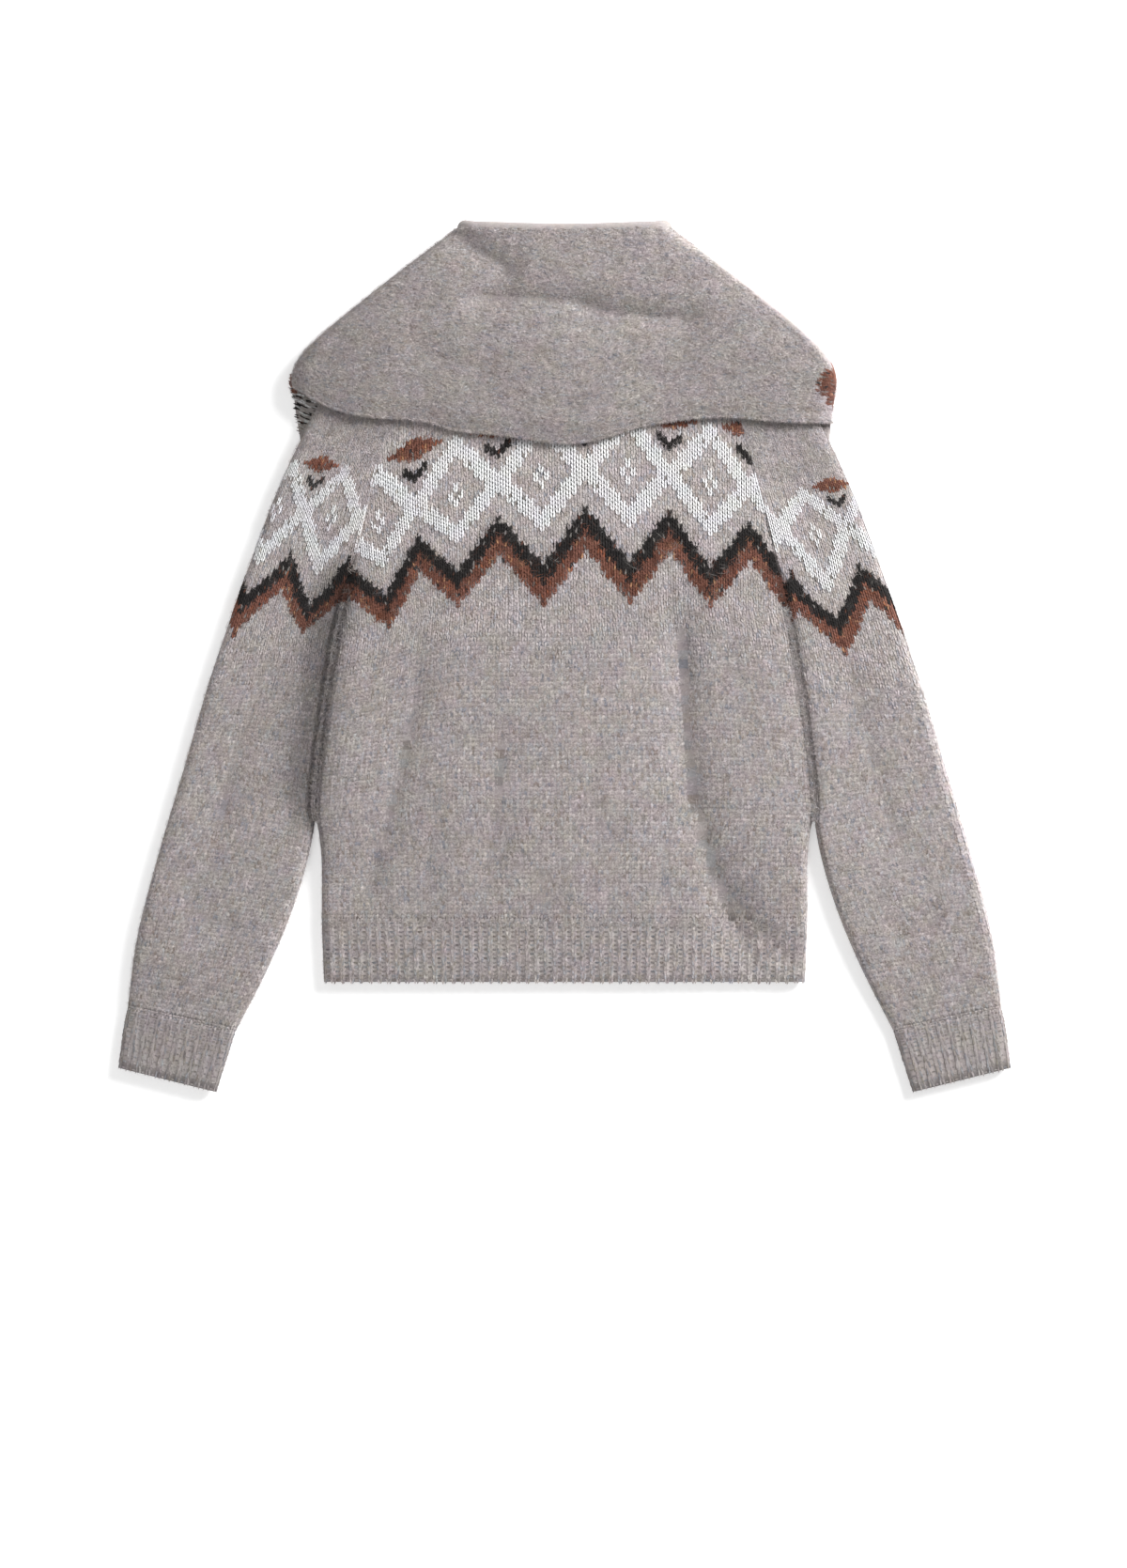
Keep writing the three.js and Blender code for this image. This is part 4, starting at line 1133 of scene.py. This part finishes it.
def fold_reach(side):
    """How much of the side fold the fall takes."""
    return np.where(side > 0, 1.0, 0.79)


def curve_at(points, t):
    """Place on a smooth curve through points, at a share t of the way by number of points."""
    last = len(points) - 1
    p = last * np.clip(t, 0, 1)
    k = np.minimum(np.floor(p).astype(int), last)
    w = (p - k)[..., None]
    p0, p1, p2, p3 = (points[np.clip(k + d, 0, last)] for d in (-1, 0, 1, 2))
    v0, v1 = (p2 - p0) / 2, (p3 - p1) / 2
    return (2 * p1 - 2 * p2 + v0 + v1) * w**3 + (-3 * p1 + 3 * p2 - 2 * v0 - v1) * w**2 + v0 * w + p1


# %% [markdown]
# The fall and the stand are two surfaces that meet at the top fold. Each point of them is known by its
# share of the way out to the side fold, and by its share of the way from the top to the free edge.


# %% The fall and the stand
def top_fold(u):
    """Height of the back's top fold, which sags a little in the middle."""
    return CORNER_Y - COLLAR_TOP_DIP * np.cos(QUARTER * u)


def fall_point(side, front, u, turn, f, depth):
    """Point of the fall: u is the share out to the side fold, f runs from the top fold to the free edge."""
    side, front, u, turn, f = np.broadcast_arrays(side, front, u, turn, f)
    reach = fold_reach(side)
    fold = curve_at(SIDE_FOLD, f * reach)
    ahead, behind = np.minimum(f * reach + 1e-4, 1), f * reach - 2e-4
    tangent = unit(curve_at(SIDE_FOLD, ahead) - curve_at(SIDE_FOLD, behind))
    end = curve_at(SIDE_FOLD, reach)
    off = fold - (SIDE_FOLD[0] + (end - SIDE_FOLD[0]) * f[..., None])
    blend = ease(0.86, 1, u)[..., None]
    free = curve_at(FRONT_FREE, u) * (1 - blend) + end * blend
    front_x = (V_X + (CORNER_X - V_X) * u) * (1 - f) + free[..., 0] * f + off[..., 0] * u**8
    top_y = FRONT_ROLL_Y + (CORNER_Y - FRONT_ROLL_Y) * u
    front_y = top_y * (1 - f) + free[..., 1] * f + off[..., 1] * u**8
    end_y = smooth_read(FREE_EDGE[:, 0], FREE_EDGE[:, 1], side * end[..., 0] * u)
    back_y = top_fold(u) + (end_y - top_fold(u)) * f + off[..., 1] * u**6
    x = side * np.where(front, front_x, fold[..., 0] * u)
    y = np.where(front, front_y, back_y)
    swell = COLLAR_SWELL * np.sin(np.pi * f) - COLLAR_EDGE_DROP * u**6
    end_drop = COLLAR_END_DROP * ease(0.9, 1, f) * (1 - u * u)
    high = COLLAR_LOFT + swell - end_drop - fold_depth(x, y, COLLAR_FOLDS) * ease(0.0, 0.06, f)
    return wall_point(x, y, -side * tangent[..., 1], tangent[..., 0], turn, 0, high, depth)


def stand_point(side, front, u, turn, g, depth):
    """Point of the stand: g runs from the neck seam to the top fold."""
    side, front, u, turn, g = np.broadcast_arrays(side, front, u, turn, g)
    seam_x = np.where(front, V_X + (NECK_X - V_X) * u - SEAM, NECK_X * u)
    seam_y = np.where(front, V_Y + (NECK_Y - V_Y) * u + SEAM, NECK_Y + SEAM)
    fold_x = np.where(front, V_X + (STAND_HALF - V_X) * u, STAND_HALF * u)
    fold_y = np.where(front, FRONT_ROLL_Y + (CORNER_Y - FRONT_ROLL_Y) * u, top_fold(u))
    x, y = seam_x + (fold_x - seam_x) * g, seam_y + (fold_y - seam_y) * g
    return wall_point(side * x, y, side, 0, turn, WALL + LAYER, STAND_LOFT, depth)


# %% [markdown]
# The shell's columns run from one centre front, round the neck, to the other. Its rows climb the stand,
# go over the top fold in a half circle and come down the fall.


# %% The collar's shell
def collar_columns():
    """Columns from one centre front round to the other: side, on the front or not, flat share, turn."""
    half = [(False, k / 20, None) for k in range(20)]
    half += [(d < 0, None, math.radians(d)) for d in range(90, -91, -15)]
    half += [(True, k / 14, None) for k in range(13, -1, -1)]
    return [(-1, *c) for c in half[:0:-1]] + [(1, *c) for c in half]


def collar_grid(seen):
    """Points of the collar's wall: of the face that shows on the fall, or of the one that lies inside."""
    columns = collar_columns()
    side = np.array([c[0] for c in columns], float)
    front = np.array([c[1] for c in columns])
    flat = np.array([-1 if c[2] is None else c[2] for c in columns])
    angle = np.array([0 if c[3] is None else c[3] for c in columns])
    turn = np.where(flat >= 0, np.where(front, -QUARTER, QUARTER), angle)

    def out(width, roll):
        start = 1 - roll / width
        return np.where(flat >= 0, flat * start, start + (1 - start) * np.cos(turn))

    fall_depth, stand_depth = (SUNK, WALL) if seen else (WALL, SUNK)
    rows = []
    for g in (0.0, 0.33, 0.66, 1.0):
        width = NECK_X + (STAND_HALF - NECK_X) * g
        rows.append(stand_point(side, front, out(width, STAND_ROLL), turn, g, stand_depth))
    first = fall_point(side, front, out(CORNER_X, FALL_ROLL), turn, 0.0, fall_depth)
    gap = first - rows[-1]
    radius = np.linalg.norm(gap, axis=-1, keepdims=True) / 2
    for turned in np.linspace(0, np.pi, 9)[1:-1]:
        p = rows[3] + gap * (1 - np.cos(turned)) / 2
        p[..., 1:2] += radius * np.sin(turned)
        rows.append(p)
    for f in np.linspace(0, 1, 41):
        width = curve_at(SIDE_FOLD, f * fold_reach(side))[..., 0]
        rows.append(fall_point(side, front, out(width, FALL_ROLL), turn, f, fall_depth))
    return np.stack(rows)


collar = shell("collar_cloth", collar_grid(True), collar_grid(False))

# %% [markdown]
# The collar is one yarn all over, but for a lozenge of rust at its right point and the pattern's reverse
# at the left one.

# %% The collar's colours
COLLAR_DEPTH = 0.97
LOZENGE_X, LOZENGE_Y, LOZENGE_HALF_WIDTH, LOZENGE_HALF_HEIGHT = 252, 251, 22, 25


def collar_yarn(x, y):
    """The pattern at the collar's points: a lozenge on the right one, stepped by the stitch."""
    across = np.abs(np.round(x / STITCH) * STITCH - LOZENGE_X) / LOZENGE_HALF_WIDTH
    up = np.abs(np.round(y / ROW) * ROW - LOZENGE_Y) / LOZENGE_HALF_HEIGHT
    return np.where(across + up < 1, RUST, GROUND)


def collar_colours(middles, _):
    """Yarn colours of the collar's shell, with rust on the left tip of its front part."""
    yarn = collar_yarn(middles[:, 0], middles[:, 1])
    yarn[(middles[:, 0] < -226) & (middles[:, 2] < 9) & (np.abs(middles[:, 1] - 247) <= 5)] = RUST
    return (dyed_and_shaded(yarn) * 0.4 + YARN[yarn] * 0.6) * BAND_DEPTH * COLLAR_DEPTH


paint(collar, collar_colours, SHELL)

# %% [markdown]
# The fall shows its purl side, so its grain runs across: row on row of small bumps, each a short piece of
# yarn that lies nearly level. They are strewn a little out of line, as brushing leaves them.


# %% The purl side of the fall
def fall_surface(across, f, depth=SUNK):
    """Point of the upper fall at a distance across from the middle, in millimetres round the fold."""
    side, reach = np.where(across < 0, -1.0, 1.0), np.abs(across)
    width = curve_at(SIDE_FOLD, f * fold_reach(side))[..., 0]
    flat = width - FALL_ROLL
    turn = QUARTER - np.maximum(0, reach - flat) / FALL_RADIUS
    u = np.where(turn < QUARTER, (flat + FALL_ROLL * np.cos(turn)) / width, reach / width)
    return fall_point(side, turn < 0, u, turn, f, depth)


PURL_ROWS, PURL_PITCH = 124, 4.5
purl = []
for k in range(PURL_ROWS):
    f = (k + 0.6) / (PURL_ROWS + 1)
    fold = min(curve_at(SIDE_FOLD, f * fold_reach(np.array(side)))[0] for side in (-1, 1))
    width = fold - FALL_ROLL + FALL_RADIUS * QUARTER + 3
    count = int(2 * width / PURL_PITCH)
    across = (np.arange(count) + rng.random()) * PURL_PITCH - width + rng.normal(0, 0.9, count)
    purl.append(np.stack([across, f + rng.normal(0, 0.0015, count)], 1))
purl = np.concatenate(purl)
purl_places = fall_surface(purl[:, 0], purl[:, 1])
purl_shades = dyed_and_shaded(collar_yarn(purl_places[:, 0], purl_places[:, 1]), COLLAR_DEPTH, 0.3)
along, down, crown = axes_at(fall_surface, purl[:, 0], purl[:, 1], 1.5, -0.004)
tilt = rng.normal(0, 0.22, (len(purl), 1))
width_length_height = ((1.9, 0.2), (5.8, 0.9), (0.5, 0.05))
size = np.stack([rng.normal(mean, spread, len(purl)) for mean, spread in width_length_height], 1)
bumps = (purl_places + crown * 0.15, along + tilt * down, crown, size, purl_shades)
collar_bumps = laid_yarn("collar_stitches", [bumps], BRUSHED_KNIT, rings=2, bow=0.15)

# %% [markdown]
# At the left point the fall ends short, and the front of the collar shows below it, with the floats of
# the pattern on its inner face: short runs of white and charcoal, rust at the top and marl below. A
# row of cast-off stitches closes the free edge of the fall.


# %% The floats at the left point and the cast-off edge
def front_face(u, f):
    """Upper face of the front part of the collar's left side."""
    return fall_point(-1.0, True, u, -QUARTER, f, WALL + 0.1)


float_u, float_f = counted(np.linspace(0.84, 0.998, 9), np.linspace(0.70, 0.998, 44))
float_u = np.minimum(float_u + rng.uniform(-0.01, 0.01, len(float_u)), 0.999)
spots = front_face(float_u, float_f)
spots = spots[(spots[:, 0] < -225) & (spots[:, 1] > 201) & (spots[:, 1] < 262)]
streak = np.sin(1.15 * spots[:, 1] + 0.4 * spots[:, 0] + rng.normal(0, 0.7, len(spots)))
patch = np.where(streak > -0.1, CHARCOAL, WHITE)
float_yarn = np.select([spots[:, 1] > 244, spots[:, 1] < 217], [RUST, GROUND], patch)
toward = np.tile([[0.93, -0.36, 0.0]], (len(spots), 1)) + rng.normal(0, 0.12, (len(spots), 3)) * [1, 1, 0.2]
size = np.stack([np.full(len(spots), 1.7), rng.normal(6.5, 1.0, len(spots)), np.full(len(spots), 1.1)], 1)
upward = np.tile([[0.0, 0.0, 1.0]], (len(spots), 1))
floats = (spots, toward, upward, size, dyed_and_shaded(float_yarn, 0.9))
edge_at = np.arange(-250, 251, 3.6)
edge_out = np.sign(edge_at) * np.minimum(np.abs(edge_at), np.where(edge_at < 0, 262, 268))
edge_f = np.full(len(edge_at), 0.994)
edge_along, edge_up, edge_crown = axes_at(fall_surface, edge_out, edge_f, 1.5, -0.004)
round_loop = np.full(len(edge_at), 2.6)
edge_size = np.stack([round_loop, rng.normal(5.0, 0.4, len(edge_at)), round_loop], 1)
edge_place = fall_surface(edge_out, edge_f + 0.003, SUNK + 0.5)
edge_shades = dyed_and_shaded(np.full(len(edge_at), GROUND), COLLAR_DEPTH)
cast_off = (edge_place, edge_along + 0.25 * edge_up, edge_crown, edge_size, edge_shades)
collar_ends = laid_yarn("collar_ends", [floats, cast_off], BRUSHED_KNIT, bow=0.1)

# %% [markdown]
# The cloth was brushed after knitting, which pulls fine hairs out of the yarn and lays them every way
# over the stitches. They blur the grey parts most, and stand out as a short fuzz round the outline. Each
# hair is a bent closed needle of six faces, about a third of a millimetre thick, coarser than real wool
# so that it shows. The same tree lays them.


# %% The nap
def hairs(surface, a, b, spread, step, shades, count, length=6.5, contrast=0.25):
    """Batch of hairs strewn over a surface within a spread of known stitches, in the stitches' colours."""
    pick = rng.integers(0, len(a), count)
    wale = a[pick] + rng.uniform(-spread[0], spread[0], count)
    row = b[pick] + rng.uniform(-spread[1], spread[1], count)
    along, up, crown = axes_at(surface, wale, row, *step)
    angle = rng.uniform(0, 2 * np.pi, count)[:, None]
    way = np.cos(angle) * along + np.sin(angle) * up + rng.normal(0.05, 0.16, (count, 1)) * crown
    long = np.clip(rng.normal(length, 0.35 * length, count), 2.0, 12.0)
    size = np.stack([np.full(count, 0.34), long, np.full(count, 0.17)], 1)
    place = surface(wale, row) + crown * rng.uniform(0.7, 1.5, (count, 1))
    tone = rng.choice([1 - contrast, 1.0, 1 + contrast], count, p=[0.22, 0.40, 0.38])[:, None]
    tone = tone * rng.normal(1, 0.08, (count, 1))
    return place, way, crown, size, np.clip(shades[pick] * tone, 0.006, 0.95)


def nap_piece(name, batches):
    """A piece of hairs, each arched off the cloth."""
    return laid_yarn(name, batches, NAP, rings=2, bow=2.2)


def thinned(yarn, row):
    """Which stitches have hairs over them: few on the crisp white ones and round them."""
    share = np.select([yarn == WHITE, yarn == CHARCOAL, yarn == RUST], [0.1, 0.6, 0.8], 1.0)
    share = share * np.where((yarn == GROUND) & (row > 14) & (row < 46), 0.5, 1.0)
    return rng.random(len(yarn)) < share


ON_KNIT, ON_RIB, ON_FALL = (0.4, 0.4), (0.1, 0.3), (1.5, -0.004)  # steps that find the cloth's directions
kept = thinned(back_yarn, back_row)
dark = (back_yarn == CHARCOAL) | (back_yarn == RUST)
back_hairs = []
for some, spread, count, length in ((kept, (0.6, 0.6), 18500, 7.5), (dark, (0.8, 1.2), 2600, 10.0)):
    wale, row, shades = back_wale[some], back_row[some] + 0.5, back_shades[some]
    back_hairs.append(hairs(back_stitch, wale, row, spread, ON_KNIT, shades, count, length))
for over_gap, shades in gap_hairs:
    back_hairs.append(hairs(over_gap, 0.0 * gap_row, gap_row, (0.8, 0.6), ON_KNIT, shades, 750, 6.0))
nap_back = nap_piece("back_nap", back_hairs)
naps = {}
for side_name, (stitch, wale, row, shades, yarn) in sleeve_knit.items():
    kept = thinned(yarn, row)
    naps[side_name] = nap_piece(f"sleeve_{side_name}_nap", [hairs(
        stitch, wale[kept], row[kept] + 0.5, (0.6, 0.6), ON_KNIT, shades[kept], 8500, 7.5)])
    on_cuff, cuff_k, cuff_r, shades = cuff_knit[side_name]
    naps["cuff_" + side_name] = nap_piece(f"cuff_{side_name}_nap", [hairs(
        on_cuff, cuff_k, cuff_r + 0.5, (0.4, 0.5), ON_RIB, shades, 1200, 4.5)])
nap_collar = nap_piece("collar_nap", [
    hairs(fall_surface, purl[:, 0], purl[:, 1], (3.0, 0.006), ON_FALL, purl_shades, 19500, 6.0, 0.09),
    hairs(fall_surface, edge_out, edge_f + 0.003, (2.0, 0.005), ON_FALL, edge_shades, 4000, 4.5)])
nap_hem = nap_piece("back_hem_nap", [hairs(
    hem_surface, hem_k, hem_r + 0.5, (0.5, 0.5), ON_RIB, hem_shades, 5000, 4.5)])

# %% [markdown]
# Every sheet rides on the one body that the garment is, and takes the place of its own solid, which is
# hidden. Stitches and hairs ride with the sheet that they lie on. The table also holds the size that each
# sheet was cut or knitted to, width by length in metres, its area where it isn't a plain rectangle, and a
# finish name, but nothing here reads them.

# %% Attaching the cloth to the body
pieces = {
    "back": (back, [*back_knit, seam_knit, nap_back], (0.462, 0.552), 0.235, "marled_knit"),
    "back_hem_rib": (hem_rib, [hem_legs, nap_hem], (0.456, 0.056), None, "rib_knit"),
    "collar": (collar, [collar_bumps, collar_ends, nap_collar], (0.96, 0.30), 0.24, "brushed_knit"),
}
for side_name, _ in SIDES:
    front, rib = fronts[side_name]
    pieces[f"front_{side_name}"] = (front, [], (0.231, 0.55), 0.109, "marled_knit")
    pieces[f"front_hem_rib_{side_name}"] = (rib, [], (0.228, 0.056), None, "rib_knit")
    cloth, legs = sleeves[side_name]
    pieces[f"sleeve_{side_name}"] = (cloth, [*legs, naps[side_name]], (0.22, 0.66), 0.125, "marled_knit")
    cloth, legs = cuffs[side_name]
    pieces[f"cuff_{side_name}"] = (cloth, [legs, naps["cuff_" + side_name]], (0.21, 0.056), None, "rib_knit")
for node, (cloth, parts, flat, area, slot) in pieces.items():
    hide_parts(node)
    for piece in [cloth, *parts]:
        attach(piece, "root")
print("triangles added", sum(triangles(p) for cloth, parts, *_ in pieces.values() for p in [cloth, *parts]))
